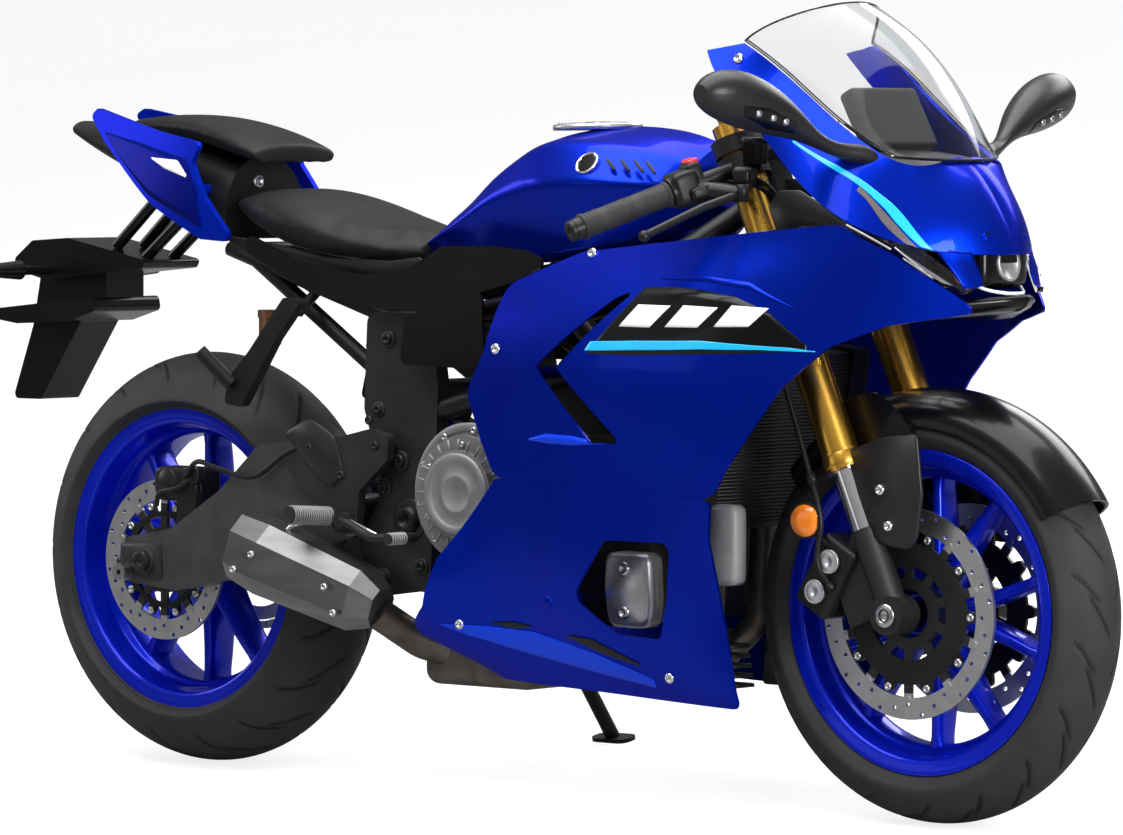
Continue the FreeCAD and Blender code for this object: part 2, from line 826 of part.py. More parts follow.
def swingarm():
    """The cast swingarm: two deep arms, cross member, axle and chain adjusters."""
    arm = side_plate(swingarm_shares, -swingarm_outer, -swingarm_inner, arm_edge)
    cross = side_plate(swingarm_cross_shares, -swingarm_inner - fit_gap, swingarm_inner + fit_gap,
                       cross_edge)
    boss = cross_rod(side_place(pivot_shares, 0), pivot_boss_radius, neck_outer)
    neck = side_plate(swingarm_neck_shares, -neck_outer, -neck_inner, neck_edge)
    axle = cross_rod(rear_axle, rear_axle_radius, swingarm_outer + axle_end)
    nut = cross_rod(rear_axle - across * (swingarm_outer + axle_nut_outside), axle_nut_radius,
        axle_nut_half_length)
    arms = joined([arm, mirrored(arm), cross, boss, neck, mirrored(neck), axle, nut])
    return arms.cut(cross_rod(side_place(pivot_shares, 0), pivot_radius + running_gap, bar_half_width))


neck_outer = 86
neck_inner = 58
swingarm_cross_shares = [(0.2566, 0.3155), (0.2968, 0.3155), (0.2968, 0.369), (0.2566, 0.369)]
swingarm_shares = [
    (-0.0416, 0.2776), (-0.0358, 0.2431), (0.043, 0.2345), (0.1434, 0.2586), (0.2366, 0.2974),
    (0.2953, 0.3207), (0.2968, 0.3862), (0.2724, 0.4052), (0.2222, 0.4379),
    (0.1649, 0.431), (0.1075, 0.369), (0.0358, 0.3155), (-0.0287, 0.3017)]
swingarm_neck_shares = [(0.2867, 0.3207), (0.3728, 0.3207), (0.3957, 0.3448), (0.3728, 0.3707),
    (0.2867, 0.3672)]


def stand_bosses():
    """The two threaded bosses on the arms that take a paddock stand's spools."""
    solids = []
    for side in (-1, 1):
        start = side_place(spool_shares, side * (swingarm_outer + fit_gap))
        end = start + across * side * spool_boss_length
        boss = rod(start, end, spool_boss_radius)
        solids += boss.cut(rod(end - across * side * spool_depth, end + across * side * overrun,
            spool_radius)).Solids
    return Part.Compound(solids)


spool_shares = (-0.0265, 0.256)
spool_boss_radius = 13
spool_boss_length = 24
spool_radius = 4
spool_depth = 20


def shock():
    """The single rear damper with its coil spring."""
    low = place(shock_low_shares)
    high = place(shock_high_shares)
    line = high - low
    pieces = [rod(low, high, damper_radius), rod(low + line * 0.2, low + line * 0.9,
        spring_radius - wire_radius / 2)]
    pieces += [rod(low + line * share, low + line * (share + 0.04), spring_radius + wire_radius)
               for share in (0.18, 0.88)]
    for number in range(spring_turns):
        centre = low + line * (0.26 + 0.55 * number / (spring_turns - 1))
        pieces.append(Part.makeTorus(spring_radius, wire_radius, centre, line))
    return joined(pieces).cut(swingarm())


shock_low_shares = (0.2753, 0, 0.3621)
shock_high_shares = (0.3527, 0, 0.4983)
damper_radius = 16
spring_radius = 30
wire_radius = 5
spring_turns = 6


engine_edge = 24
recess_length = 130
recess_width = 124
recess_height = 150


def engine_block():
    """The engine as one plain block: crankcase and forward-leaning cylinders."""
    case = side_plate(crankcase_shares, -engine_half_width, engine_half_width, engine_edge)
    cylinders = side_plate(cylinder_shares, -cylinder_half_width, cylinder_half_width, engine_edge)
    recess = block(side_place(front_sprocket_shares, engine_half_width), recess_length, recess_width,
                   recess_height)
    return joined([case, cylinders]).cut(recess)


engine_half_width = 150
cylinder_half_width = 94
crankcase_shares = [(0.4229, 0.2845), (0.4588, 0.2259), (0.6667, 0.2259), (0.7061, 0.2845),
    (0.7154, 0.431), (0.6882, 0.4621), (0.4301, 0.4621)]
cylinder_shares = [(0.5161, 0.4138), (0.7097, 0.4138), (0.7211, 0.5172), (0.6452, 0.5862),
    (0.552, 0.5517)]
clutch_centre_shares = (0.4918, 0.3845)
clutch_radius = 89


def engine_covers():
    """The round clutch cover on the right and the generator cover on the left."""
    sides = []
    for side, ahead, steps in ((-1, 0, clutch_steps), (1, generator_ahead, generator_steps)):
        centre = side_place(clutch_centre_shares,
            side * (engine_half_width + fit_gap)) + Vector(ahead, 0, 0)
        drums = [rod(centre + across * side * depth * low, centre + across * side * depth * high,
                     clutch_radius * size) for low, high, size, depth in steps]
        sides += joined(drums).Solids
    return Part.Compound(sides)


clutch_depth = 74
generator_ahead = 90
clutch_steps = [(0, 0.62, 1.15, clutch_depth), (0.5, 0.84, 0.95, clutch_depth),
    (0.7, 1, 0.72, clutch_depth)]
generator_steps = [(0, 0.54, 1, clutch_depth), (0.4, 0.74, 0.7, clutch_depth)]


def radiator():
    """The cooling radiator with its side tanks, leaning with the engine."""
    centre = place(radiator_shares)
    core = block(centre, radiator_depth, radiator_width, radiator_height)
    tank = block(centre - across * (radiator_width + radiator_tank_width) / 2, radiator_tank_depth,
                 radiator_tank_width + overrun / 2, radiator_height + radiator_edge)
    whole = joined([core, tank, mirrored(tank)])
    whole.rotate(centre, across, radiator_lean)
    return whole


radiator_shares = (0.7828, 0, 0.4586)
radiator_depth = 32
radiator_width = 290
radiator_height = 250
radiator_tank_width = 30
radiator_tank_depth = 44
radiator_edge = 12
radiator_lean = 8

header_shares = [(0.681, -0.2214, 0.4052), (0.7412, -0.2214, 0.3879), (0.7355, -0.2137, 0.2259),
    (0.681, -0.1908, 0.169), (0.5018, -0.1145, 0.1534)]


header_radius = 19
header_bend = 60
collector_shares = (0.4373, -0.0382, 0.1638)
collector_length = 210
collector_width = 170
collector_height = 76
collector_edge = 22
link_shares = [(0.4014, -0.229, 0.169), (0.3728, -0.4198, 0.1853), (0.3513, -0.6718, 0.2259)]
link_radius = 24


def exhaust_headers():
    """Two header pipes that sweep down and back into one collector under the engine."""
    pipe = bent_tube([place(shares) for shares in header_shares], header_radius, header_bend)
    box = block(place(collector_shares), collector_length, collector_width, collector_height)
    box = box.makeFillet(collector_edge, box.Edges)
    link = bent_tube([place(shares) for shares in link_shares], link_radius, header_bend)
    return joined([pipe, mirrored(pipe), box, link]).cut(engine_block()).cut(muffler())


muffler_stations = [(0.3584, -0.6794, 0.231), (0.3369, -0.7099, 0.2414), (0.2151, -0.7557, 0.2879),
    (0.1763, -0.7634, 0.3034)]
muffler_size_shares = [(0.6, 0.6), (0.95, 0.95), (1.12, 1.1), (1.0, 1.0)]
muffler_half_width = 40
muffler_half_height = 50
outlet_depth = 60
outlet_radius = 22


def muffler():
    """The short silencer: a bevelled box section that rises to its outlet."""
    places = [place(shares) for shares in muffler_stations]
    line = places[-1] - places[0]
    line = line / line.Length
    side = across
    up = line.cross(side)
    up = up * (1 if up.z > 0 else -1)
    sections = []
    for centre, (wide, tall) in zip(places, muffler_size_shares):
        outline = []
        for y, z in ((-0.55, 1), (0.55, 1), (1, 0.5), (1, -0.5), (0.55, -1), (-0.55, -1),
            (-1, -0.5), (-1, 0.5)):
            outline.append(centre + side * y * wide * muffler_half_width + up * z * tall * muffler_half_height)
        sections.append(Part.makePolygon(outline + outline[:1]))
    can = Part.makeLoft(sections, True, True)
    outlet = rod(places[-1] - line * outlet_depth, places[-1] + line * overrun, outlet_radius)
    return can.cut(outlet)


# Tank, seats and tail
tank_stations = [
    (0.362, 0.34, 0.6776, 0.6948, 0.7086),
    (0.4301, 0.45, 0.6707, 0.7293, 0.7655),
    (0.5018, 0.53, 0.6707, 0.7724, 0.8241),
    (0.5591, 0.60, 0.681, 0.7862, 0.85),
    (0.6165, 0.62, 0.6914, 0.7897, 0.8552),
    (0.6738, 0.55, 0.7069, 0.7802, 0.8466),
    (0.7168, 0.32, 0.7431, 0.7759, 0.8259),
]


cap_low_shares = (0.5477, 0, 0.8379)
cap_high_shares = (0.5477, 0, 0.8586)
cap_radius = 62


def fuel_tank():
    """The fuel tank, narrow between the knees and broad at its shoulders."""
    body = crowned_body(tank_stations)
    cap = rod(place(cap_low_shares), place(cap_high_shares), cap_radius)
    return joined([body, cap])


seat_stations = [
    (0.0746, 0.26, 0.7293, 0.7414, 0.7517),
    (0.129, 0.44, 0.7086, 0.7431, 0.7621),
    (0.2007, 0.52, 0.6828, 0.7259, 0.7483),
    (0.2767, 0.52, 0.6707, 0.7, 0.7224),
    (0.3297, 0.42, 0.6672, 0.6897, 0.7121),
    (0.3584, 0.33, 0.6724, 0.6862, 0.7052),
]


def rider_seat():
    """The rider's seat pad, dished and narrow where it meets the tank."""
    return crowned_body(seat_stations)


pillion_stations = [
    (-0.1118, 0.14, 0.8345, 0.8431, 0.8534),
    (-0.0573, 0.21, 0.8276, 0.8466, 0.8586),
    (0.0143, 0.3, 0.819, 0.8431, 0.8569),
    (0.0789, 0.36, 0.8034, 0.8241, 0.8397),
    (0.1219, 0.36, 0.7914, 0.8052, 0.8207),
]


def pillion_seat():
    """The raised pad behind the rider."""
    return crowned_body(pillion_stations)


tail_boss_shares = [(0.043, 0.7586), (-0.0645, 0.806)]
boss_radius = 9
tail_edge = 10
tail_outline_shares = [
    (0.1161, 0.6914), (0.0659, 0.6948), (-0.0186, 0.7397), (-0.1226, 0.8233), (-0.1534, 0.8552),
    (-0.1405, 0.8655), (-0.0194, 0.8353), (0.0588, 0.8207), (0.048, 0.7948),
    (0.0724, 0.75)]
tail_columns_share = [-0.1649, -0.043, 0.043, 0.1254]
tail_rows_share = [0.681, 0.7586, 0.819, 0.875]
tail_width_shares = [
    [0.20, 0.40, 0.49, 0.50],
    [0.21, 0.42, 0.50, 0.51],
    [0.20, 0.38, 0.46, 0.48],
    [0.18, 0.33, 0.42, 0.44],
]


def tail_cowls():
    """The painted panels each side of the tail."""
    slab = side_slab(tail_columns_share, tail_rows_share, tail_width_shares, panel_wall * 2)
    panel = slab.common(side_plate(tail_outline_shares, -fairing_half_width, 0, tail_edge))
    pieces = [panel]
    for shares in tail_boss_shares:
        post = rod(side_place(shares, -fairing_half_width), side_place(shares, 0), boss_radius)
        parts = post.cut(slab).cut(undertail()).Solids
        pieces.append(sorted(parts, key=lambda solid: solid.CenterOfMass.y)[1])
    return both_sides(joined(pieces))


undertail_stations = [
    (-0.195, 0.13, 0.831, 0.8379, 0.8483),
    (-0.1075, 0.17, 0.7862, 0.8103, 0.8326),
    (0, 0.28, 0.7414, 0.7759, 0.8202),
    (0.0743, 0.34, 0.6948, 0.7284, 0.8035),
]


def undertail():
    """The moulded tray under the tail that carries the pads, the tail lamp and the plate holder."""
    return crowned_body(undertail_stations)


def subframe():
    """The rear subframe tubes that carry the seats and the tail."""
    pieces = []
    for side in (-1, 1):
        for route in subframe_shares:
            points = [plate_place(shares, side) for shares in route]
            pieces.append(rod(points[0], points[1], subframe_radius))
    for shares in subframe_cross_shares:
        point = plate_place(shares, 1)
        pieces.append(cross_rod(Vector(point.x, 0, point.z), subframe_radius * 0.75, point.y))
    return joined(pieces)


subframe_radius = 12
subframe_shares = [
    [(0.3269, 0.7225, 0.5966), (0.0789, 0.6087, 0.6828)],
    [(0.3197, 0.7225, 0.5172), (0.1219, 0.6377, 0.6672)],
]
subframe_cross_shares = [(0.0789, 0.6087, 0.6828), (0.1720, 0.6522, 0.6509), (0.2867, 0.7029, 0.6103)]
cover_edge = 12
side_cover_shares = [
    (0.5892, 0.6759), (0.5534, 0.6905), (0.5018, 0.6948), (0.4308, 0.6931), (0.3871, 0.6655),
    (0.3154, 0.6534), (0.2151, 0.669), (0.1376, 0.7034), (0.1333, 0.681),
    (0.2366, 0.6293), (0.3154, 0.6138), (0.4007, 0.6095), (0.5405, 0.6509)]
lower_cover_shares = [(0.3842, 0.6034), (0.4946, 0.6397), (0.5018, 0.5517), (0.4846, 0.5397),
    (0.3771, 0.5422)]
cover_columns_share = [0.0645, 0.2151, 0.3728, 0.5018, 0.6022]
cover_rows_share = [0.5172, 0.6034, 0.6552, 0.7328]
cover_width_shares = [
    [0.50, 0.56, 0.64, 0.68, 0.70],
    [0.50, 0.56, 0.63, 0.68, 0.70],
    [0.49, 0.55, 0.61, 0.66, 0.68],
    [0.47, 0.53, 0.57, 0.62, 0.65],
]


def side_covers():
    """The matt side covers under the seat and the tank."""
    slab = side_slab(cover_columns_share, cover_rows_share, cover_width_shares, panel_wall)
    upper = slab.common(side_plate(side_cover_shares, -fairing_half_width, 0, cover_edge))
    lower = slab.common(side_plate(lower_cover_shares, -fairing_half_width, 0, cover_edge))
    return both_sides(Part.Compound(upper.Solids + lower.Solids))


def plate_holder():
    """The number plate holder on its arm, with slim indicators each side."""
    hood = side_plate(plate_hood_shares, -hood_half_width, hood_half_width, plate_corner)
    board = side_plate(plate_board_shares, -board_half_width, board_half_width, plate_corner)
    wings = side_plate(plate_wing_shares, -wing_half_width, wing_half_width, plate_corner)
    pieces = [hood, board, wings]
    for side in (-1, 1):
        for start, end in strut_shares:
            pieces.append(rod(side_place(start, side * strut_spread),
                side_place(end, side * strut_spread), strut_radius))
        root = side_place(indicator_shares, 0)
        pieces.append(rod(root, root + across * side * indicator_reach, stalk_radius))
        pieces.append(cone_rod(root + across * side * (indicator_reach - indicator_length),
                               root + across * side * (indicator_reach + stalk_radius), lamp_radius,
                               lamp_radius * 0.7))
    return largest(joined(pieces).cut(undertail()))


plate_hood_shares = [(-0.2667, 0.6621), (-0.2387, 0.6871), (-0.1842, 0.6914), (-0.0645, 0.6638),
    (-0.0688, 0.6526), (-0.1362, 0.6448), (-0.2151, 0.6336), (-0.2624, 0.6466)]
plate_board_shares = [(-0.2358, 0.6595), (-0.1376, 0.6552), (-0.1376, 0.6034), (-0.1763, 0.5793),
    (-0.2387, 0.4724), (-0.2824, 0.4724), (-0.2509, 0.5724)]
plate_wing_shares = [(-0.2545, 0.575), (-0.2882, 0.5802), (-0.2853, 0.5948), (-0.2437, 0.6),
    (-0.1362, 0.6138), (-0.1326, 0.5948), (-0.1763, 0.5793)]
strut_shares = [((-0.0502, 0.7629), (-0.129, 0.681)), ((-0.0143, 0.7328), (-0.086, 0.6655))]
indicator_shares = (-0.2151, 0.6483)
plate_corner = 8
hood_half_width = 62
board_half_width = 42
wing_half_width = 74
strut_spread = 30
strut_radius = 9
indicator_reach = 176
indicator_length = 52
stalk_radius = 8
lamp_radius = 15

hanger_shares = [(0.2366, 0.6224), (0.2079, 0.6224), (0.1577, 0.5517), (0.129, 0.5172),
    (0.1219, 0.4828), (0.147, 0.4793), (0.1685, 0.5172), (0.1971, 0.569)]


def pillion_hangers():
    """The pillion footrest hangers with their folded pegs, and the brake fluid reservoir."""
    hanger = side_plate(hanger_shares, -hanger_outer, -hanger_inner, hanger_edge)
    stay = rod(side_place(stay_outer_shares, -hanger_inner - overrun / 4),
        side_place(stay_inner_shares, -stay_inner),
               stay_radius)
    peg = rod(side_place(peg_low_shares, -hanger_outer - overrun / 4),
        side_place(peg_high_shares, -peg_reach),
              peg_radius)
    start, end = [plate_place(shares, -1) for shares in subframe_shares[0]]
    hangers = joined([hanger, stay, peg]).cut(rod(start, end, subframe_radius + fit_gap))
    return both_sides(largest(hangers))


hanger_inner = 146
hanger_outer = 164
hanger_edge = 8
stay_outer_shares = (0.2222, 0.6034)
stay_inner_shares = (0.2222, 0.6328)
stay_inner = 105.9
stay_radius = 8
peg_low_shares = (0.1362, 0.5086)
peg_high_shares = (0.1075, 0.5517)
peg_reach = 196
peg_radius = 11


def brake_reservoir():
    """The rear brake's fluid reservoir beside the right hanger."""
    low = side_place(reservoir_shares, -hanger_inner + cup_radius + fit_gap)
    cup = rod(low, low + upward * cup_height, cup_radius)
    lid = rod(low + upward * (cup_height - lid_height / 6),
        low + upward * (cup_height + lid_height), cup_radius * 1.1)
    return joined([cup, lid.cut(side_plate(hanger_shares, -hanger_outer, -hanger_inner + fit_gap,
        hanger_edge))])


reservoir_shares = (0.1663, 0.5603)
cup_radius = 17
cup_height = 42
lid_height = 10

footrest_shares = [
    (0.2151, 0.4052), (0.2509, 0.4353), (0.3369, 0.4586), (0.3642, 0.4517), (0.362, 0.419),
    (0.3226, 0.3793), (0.3183, 0.3241), (0.2867, 0.3241), (0.276, 0.3655), (0.2509, 0.3707)]


def footrests():
    """The rider's footrest brackets and pegs."""
    bracket = side_plate(footrest_shares, -bracket_outer, -bracket_inner, bracket_edge)
    gap = bracket_inner - plate_outer - fit_gap
    spacer = cross_rod(side_place(spacer_shares, -bracket_inner + gap / 2), spacer_radius, gap / 2)
    peg = rod(side_place(footrest_root_shares, -bracket_inner - overrun / 2),
        side_place(footrest_tip_shares, -footrest_reach),
              footrest_radius)
    return both_sides(joined([bracket, spacer, peg]))


bracket_inner = 156
bracket_outer = 172
bracket_edge = 10
spacer_shares = (0.347, 0.4362)
spacer_radius = 12
footrest_root_shares = (0.2867, 0.3448)
footrest_tip_shares = (0.276, 0.3491)
footrest_reach = 255
footrest_radius = 13


def foot_levers():
    """The brake pedal on the right and the gear lever on the left."""
    arm = bent_tube([side_place(shares, -bracket_outer - reach) for shares,
        reach in zip(pedal_shares, pedal_outside)],
                    pedal_radius, pedal_bend)
    toe = rod(side_place(pedal_shares[-1], -bracket_outer - pedal_outside[0]),
              side_place(pedal_shares[-1], -bracket_outer - toe_reach), pedal_radius * 1.15)
    eye = cross_rod(side_place(pedal_shares[0], -bracket_outer - pedal_eye_half - fit_gap),
        spacer_radius, pedal_eye_half)
    return both_sides(joined([arm, toe, eye]))


pedal_shares = [(0.3047, 0.3414), (0.3513, 0.3207), (0.4057, 0.3241)]
pedal_outside = (10, 18, 28)
pedal_radius = 7
pedal_bend = 60
toe_reach = 68
pedal_eye_half = 7.7


rear_caliper_ahead = 50
rear_caliper_rise = 118
rear_caliper_length = 92
rear_caliper_width = 50
rear_caliper_height = 52


def rear_caliper():
    """The rear brake caliper on top of the right arm."""
    centre = rear_axle + Vector(rear_caliper_ahead, -rear_disc_offset, rear_caliper_rise)
    body = block(centre, rear_caliper_length, rear_caliper_width, rear_caliper_height)
    body = body.makeFillet(caliper_edge, body.Edges)
    slot = cross_rod(rear_axle - across * rear_disc_offset, rear_disc_radius + moving_gap,
                     bobbin_reach + moving_gap)
    foot = block(centre + Vector(rear_caliper_length * 0.3, -rear_caliper_width / 2,
        -rear_caliper_height * 0.7),
                 rear_caliper_length * 0.43, lug_width, rear_caliper_height)
    return joined([body.cut(slot), foot.cut(slot)]).cut(swingarm())


# Fairing
fairing_columns_share = [0.3871, 0.5161, 0.6452, 0.7599, 0.8602, 0.9606, 1.0323,
                         1.1039]
fairing_rows_share = [0.1121, 0.1724, 0.2586, 0.3707, 0.4828, 0.5862, 0.6724, 0.75]
fairing_width_shares = [
    [0.38, 0.46, 0.50, 0.54, 0.56, 0.48, 0.36, 0.22],
    [0.60, 0.66, 0.70, 0.74, 0.73, 0.60, 0.42, 0.26],
    [0.80, 0.86, 0.87, 0.85, 0.74, 0.60, 0.45, 0.28],
    [0.84, 0.91, 0.94, 0.92, 0.84, 0.70, 0.52, 0.32],
    [0.84, 0.92, 0.98, 0.98, 0.91, 0.76, 0.56, 0.32],
    [0.80, 0.89, 0.99, 1.00, 0.93, 0.77, 0.55, 0.28],
    [0.64, 0.71, 0.78, 0.83, 0.85, 0.76, 0.55, 0.24],
    [0.46, 0.54, 0.62, 0.69, 0.76, 0.70, 0.48, 0.18],
]
side_fairing_outline_shares = [
    (0.5556, 0.6483), (0.6387, 0.6905), (0.8093, 0.7112), (0.9183, 0.7233), (0.9692, 0.7293),
    (1.0208, 0.6948), (1.0753, 0.6397), (1.0867, 0.6241), (1.0179, 0.6086),
    (0.9642, 0.581), (0.9197, 0.5328), (0.881, 0.4724), (0.8516, 0.4259), (0.8351, 0.3948),
    (0.5541, 0.4086), (0.5355, 0.4543), (0.5161, 0.5129), (0.5398, 0.5664)]
slot_outline_shares = [(0.7427, 0.6483), (0.7168, 0.6362), (0.6179, 0.5483), (0.6918, 0.4578),
    (0.7326, 0.4578), (0.6509, 0.5483)]
belly_outline_shares = [
    (0.5556, 0.4082), (0.8337, 0.3945), (0.8265, 0.3448), (0.833, 0.2603), (0.8473, 0.1362),
    (0.7305, 0.1405), (0.5154, 0.1509), (0.4229, 0.2112), (0.4545, 0.2431),
    (0.4789, 0.3043)]
window_outline_shares = [(0.7018, 0.3388), (0.7821, 0.3388), (0.7728, 0.2672), (0.7599, 0.2181),
    (0.7011, 0.2224), (0.6545, 0.2655)]


def fairing_slab():
    """The curved wall from which the right fairing panels are cut."""
    return side_slab(fairing_columns_share, fairing_rows_share, fairing_width_shares, panel_wall)


side_boss_shares = (0.5971, 0.5397)
side_boss_inner = plate_outer * 0.9275 + frame_tube_radius + fit_gap
fairing_corner = 30
slot_corner = 6
belly_corner = 14
belly_boss_shares = (0.6165, 0.2586)


def inner_boss(shares, inner):
    """A fixing boss from the frame or engine out to the inside of the right panel."""
    post = rod(side_place(shares, -fairing_half_width * 1.2), side_place(shares, -inner), boss_radius)
    trimmed = post.cut(side_slab(fairing_columns_share, fairing_rows_share, fairing_width_shares,
        panel_wall))
    inside = min(trimmed.Solids, key=lambda solid: abs(solid.CenterOfMass.y))
    reach = inside.optimalBoundingBox(False, False).YMin - panel_wall / 2
    return rod(side_place(shares, reach), side_place(shares, -inner), boss_radius)


def side_fairings():
    """The upper side panels with their diagonal slots."""
    panel = fairing_slab().common(side_plate(side_fairing_outline_shares, -fairing_half_width * 1.2, 0,
                                              fairing_corner))
    panel = panel.cut(side_plate(slot_outline_shares, -fairing_half_width * 1.2, 0, slot_corner))
    boss = inner_boss(side_boss_shares, side_boss_inner)
    return both_sides(joined([panel, boss]))


def belly_pans():
    """The lower side panels with the window in front of the crankcase."""
    panel = fairing_slab().common(side_plate(belly_outline_shares, -fairing_half_width * 1.2, 0,
        belly_corner))
    panel = panel.cut(side_plate(window_outline_shares, -fairing_half_width * 1.2, 0, belly_corner))
    boss = inner_boss(belly_boss_shares, engine_half_width + fit_gap)
    return both_sides(joined([panel, boss]))


nose_grid_shares = [
    [(0.8294, -0.5725, 0.9474), (0.81, -0.6031, 0.9431), (0.7892, -0.6298, 0.9388)],
    [(0.8853, -0.5611, 0.9052), (0.871, -0.6412, 0.8793), (0.8459, -0.6794, 0.8621)],
    [(0.9462, -0.5267, 0.8491), (0.9319, -0.6565, 0.8233), (0.9061, -0.7252, 0.7974)],
    [(1.0036, -0.4656, 0.8069), (0.9878, -0.6107, 0.7716), (0.9713, -0.7252, 0.7397)],
    [(1.028, -0.2366, 0.8034), (1.0466, -0.3511, 0.7517), (1.048, -0.458, 0.7)],
    [(1.0358, 0, 0.8026), (1.071, 0, 0.7517), (1.0925, 0, 0.6948)],
]


def inward(rows, wall):
    """The same grid moved inwards along its own normals by a wall's thickness."""
    moved = []
    last_row = len(rows) - 1
    last_column = len(rows[0]) - 1
    for i, row in enumerate(rows):
        line = []
        for j, point in enumerate(row):
            down = rows[min(i + 1, last_row)][j] - rows[max(i - 1, 0)][j]
            over = row[min(j + 1, last_column)] - row[max(j - 1, 0)]
            normal = down.cross(over)
            normal = normal / normal.Length
            if normal.x * 0.6 - normal.y * 0.6 + normal.z * 0.5 > 0:
                normal = normal * -1
            if abs(point.y) < wall / 100:
                normal = Vector(normal.x, 0, normal.z)
                normal = normal / normal.Length
            line.append(point + normal * wall)
        moved.append(line)
    return moved


def nose_half(grow):
    """The right half of the nose skin, grown on both faces by a gap."""
    rows = grid_points(nose_grid_shares)
    return skin_solid(inward(rows, -grow), inward(rows, panel_wall + grow))


def nose_cowl():
    """The painted nose from the screen's edge down to the lamps."""
    half = nose_half(0)
    return half.fuse(mirrored(half)).removeSplitter()


screen_grid_shares = [
    [(1.005, -0.458, 0.8112), (1.0294, -0.2366, 0.8078), (1.0373, 0, 0.8069),
    (1.0294, 0.2366, 0.8078), (1.005, 0.458, 0.8112)],
    [(0.9477, -0.5191, 0.8534), (0.9935, -0.2901, 0.8707), (1.0093, 0, 0.8741),
    (0.9935, 0.2901, 0.8707), (0.9477, 0.5191, 0.8534)],
    [(0.8867, -0.5534, 0.9095), (0.9434, -0.3053, 0.9362), (0.962, 0, 0.9414),
    (0.9434, 0.3053, 0.9362), (0.8867, 0.5534, 0.9095)],
    [(0.8315, -0.5649, 0.9517), (0.8731, -0.3206, 0.9871), (0.8932, 0, 0.9983),
    (0.8731, 0.3206, 0.9871), (0.8315, 0.5649, 0.9517)],
]


def windscreen():
    """The clear screen, bowed across and swept back."""
    rows = grid_points(screen_grid_shares)
    inner = [[point - fork_ahead * screen_wall for point in row] for row in rows]
    return skin_solid(rows, inner)


instrument_shares = (0.9319, 0, 0.8534)
instrument_depth = 30
instrument_width = 150
instrument_height = 96
instrument_edge = 8
instrument_lean = 28


def instrument_panel():
    """The instrument unit behind the screen on its hood."""
    centre = place(instrument_shares)
    unit = block(centre, instrument_depth, instrument_width, instrument_height)
    unit = unit.makeFillet(instrument_edge, unit.Edges)
    unit.rotate(centre, across, -instrument_lean)
    return unit


front_stay_shares = [(0.7527, 0, 0.7802), (0.8746, 0, 0.7629), (0.9319, 0, 0.7328), (1.0323, 0, 0.7155)]
front_stay_cross_shares = [(0.9262, 0, 0.7207), (0.9978, 0, 0.7379)]
post_low_shares = (0.9247, 0, 0.7379)
post_high_shares = (0.9247, 0, 0.8276)
stay_tube_radius = 11
stay_bar_radius = 7


def front_stay():
    """The bracket from the steering head that carries the nose, lamp and instruments."""
    spine = bent_tube([place(shares) for shares in front_stay_shares], stay_tube_radius, frame_bend)
    post = rod(place(post_low_shares), place(post_high_shares), stay_tube_radius * 0.8)
    bars = [cross_rod(place(shares), stay_bar_radius,
        fairing_half_width) for shares in front_stay_cross_shares]
    stay = joined([spine, post] + bars)
    head = rod(fork_point(lower_clamp_reach, -fork_offset, 0),
        fork_point(upper_clamp_reach, -fork_offset, 0),
               head_tube_radius + fit_gap)
    slab = fairing_slab()
    for other in (head, slab, mirrored(slab), nose_cowl(), headlight(), instrument_panel()):
        stay = stay.cut(other)
    return max(stay.Solids, key=lambda solid: solid.BoundBox.DiagonalLength)


def headlight():
    """The recessed centre lamp with its bezel."""
    body = side_plate(headlight_shares, -headlight_half_width, headlight_half_width, headlight_edge)
    return largest(body.cut(nose_cowl()))


headlight_shares = [(1.0108, 0.7483), (1.0681, 0.7534), (1.0853, 0.6897), (1.0753, 0.6483),
    (1.0251, 0.6397), (1.0036, 0.6897)]
headlight_half_width = 52
headlight_edge = 12
position_lamp_edge = 4
lamp_outline_shares = [(0.9763, 0.7328), (1.0208, 0.7), (1.0753, 0.6448), (1.0796, 0.6517),
    (1.0265, 0.7172), (0.9806, 0.7466)]


def position_lamps():
    """The slim running lamps each side of the nose."""
    slab = side_slab(fairing_columns_share, fairing_rows_share, fairing_width_shares, panel_wall * 3)
    lamp = slab.common(side_plate(lamp_outline_shares, -fairing_half_width * 1.2, 0,
        position_lamp_edge))
    return both_sides(largest(lamp.cut(nose_half(fit_gap))))


mirror_stations = [
    ((0.9792, -0.4885, 0.8052), 0.40, 0.30), ((0.9692, -0.6718, 0.8172), 0.34, 0.30),
    ((0.9591, -0.8473, 0.8328), 0.36, 0.34),
    ((0.952, -1, 0.8517), 0.62, 0.62), ((0.9448, -1.2214, 0.8707), 0.86, 0.98),
    ((0.9391, -1.4198, 0.881), 0.84, 1),
    ((0.9348, -1.5649, 0.8845), 0.62, 0.72), ((0.9326, -1.6336, 0.8845), 0.30, 0.34)]
mirror_half_depth = 40
mirror_half_height = 38


def mirrors():
    """The mirrors: swept arms that widen into housings with lamps in their faces."""
    sections = []
    for shares, depth_share, height_share in mirror_stations:
        centre = place(shares)
        points = []
        for number in range(8):
            angle = math.pi / 4 * number
            points.append(centre + Vector(math.cos(angle) * mirror_half_depth * depth_share, 0,
                                          math.sin(angle) * mirror_half_height * height_share))
        curve = Part.BSplineCurve()
        curve.interpolate(points, PeriodicFlag=True)
        sections.append(Part.Wire([curve.toShape()]))
    shell = Part.makeLoft(sections, True, False)
    return both_sides(largest(shell.cut(nose_half(fit_gap))))


# Stance: the motorcycle leans on its side stand, with both tyres and the foot on the ground
def ground_drop(along):
    """How far the leaning tyre line lies below the ground of the upright motorcycle."""
    rear = rear_tyre_crown * (1 - math.cos(lean))
    front = front_tyre_crown * (1 - math.cos(lean))
    return rear + (front - rear) * along / wheelbase


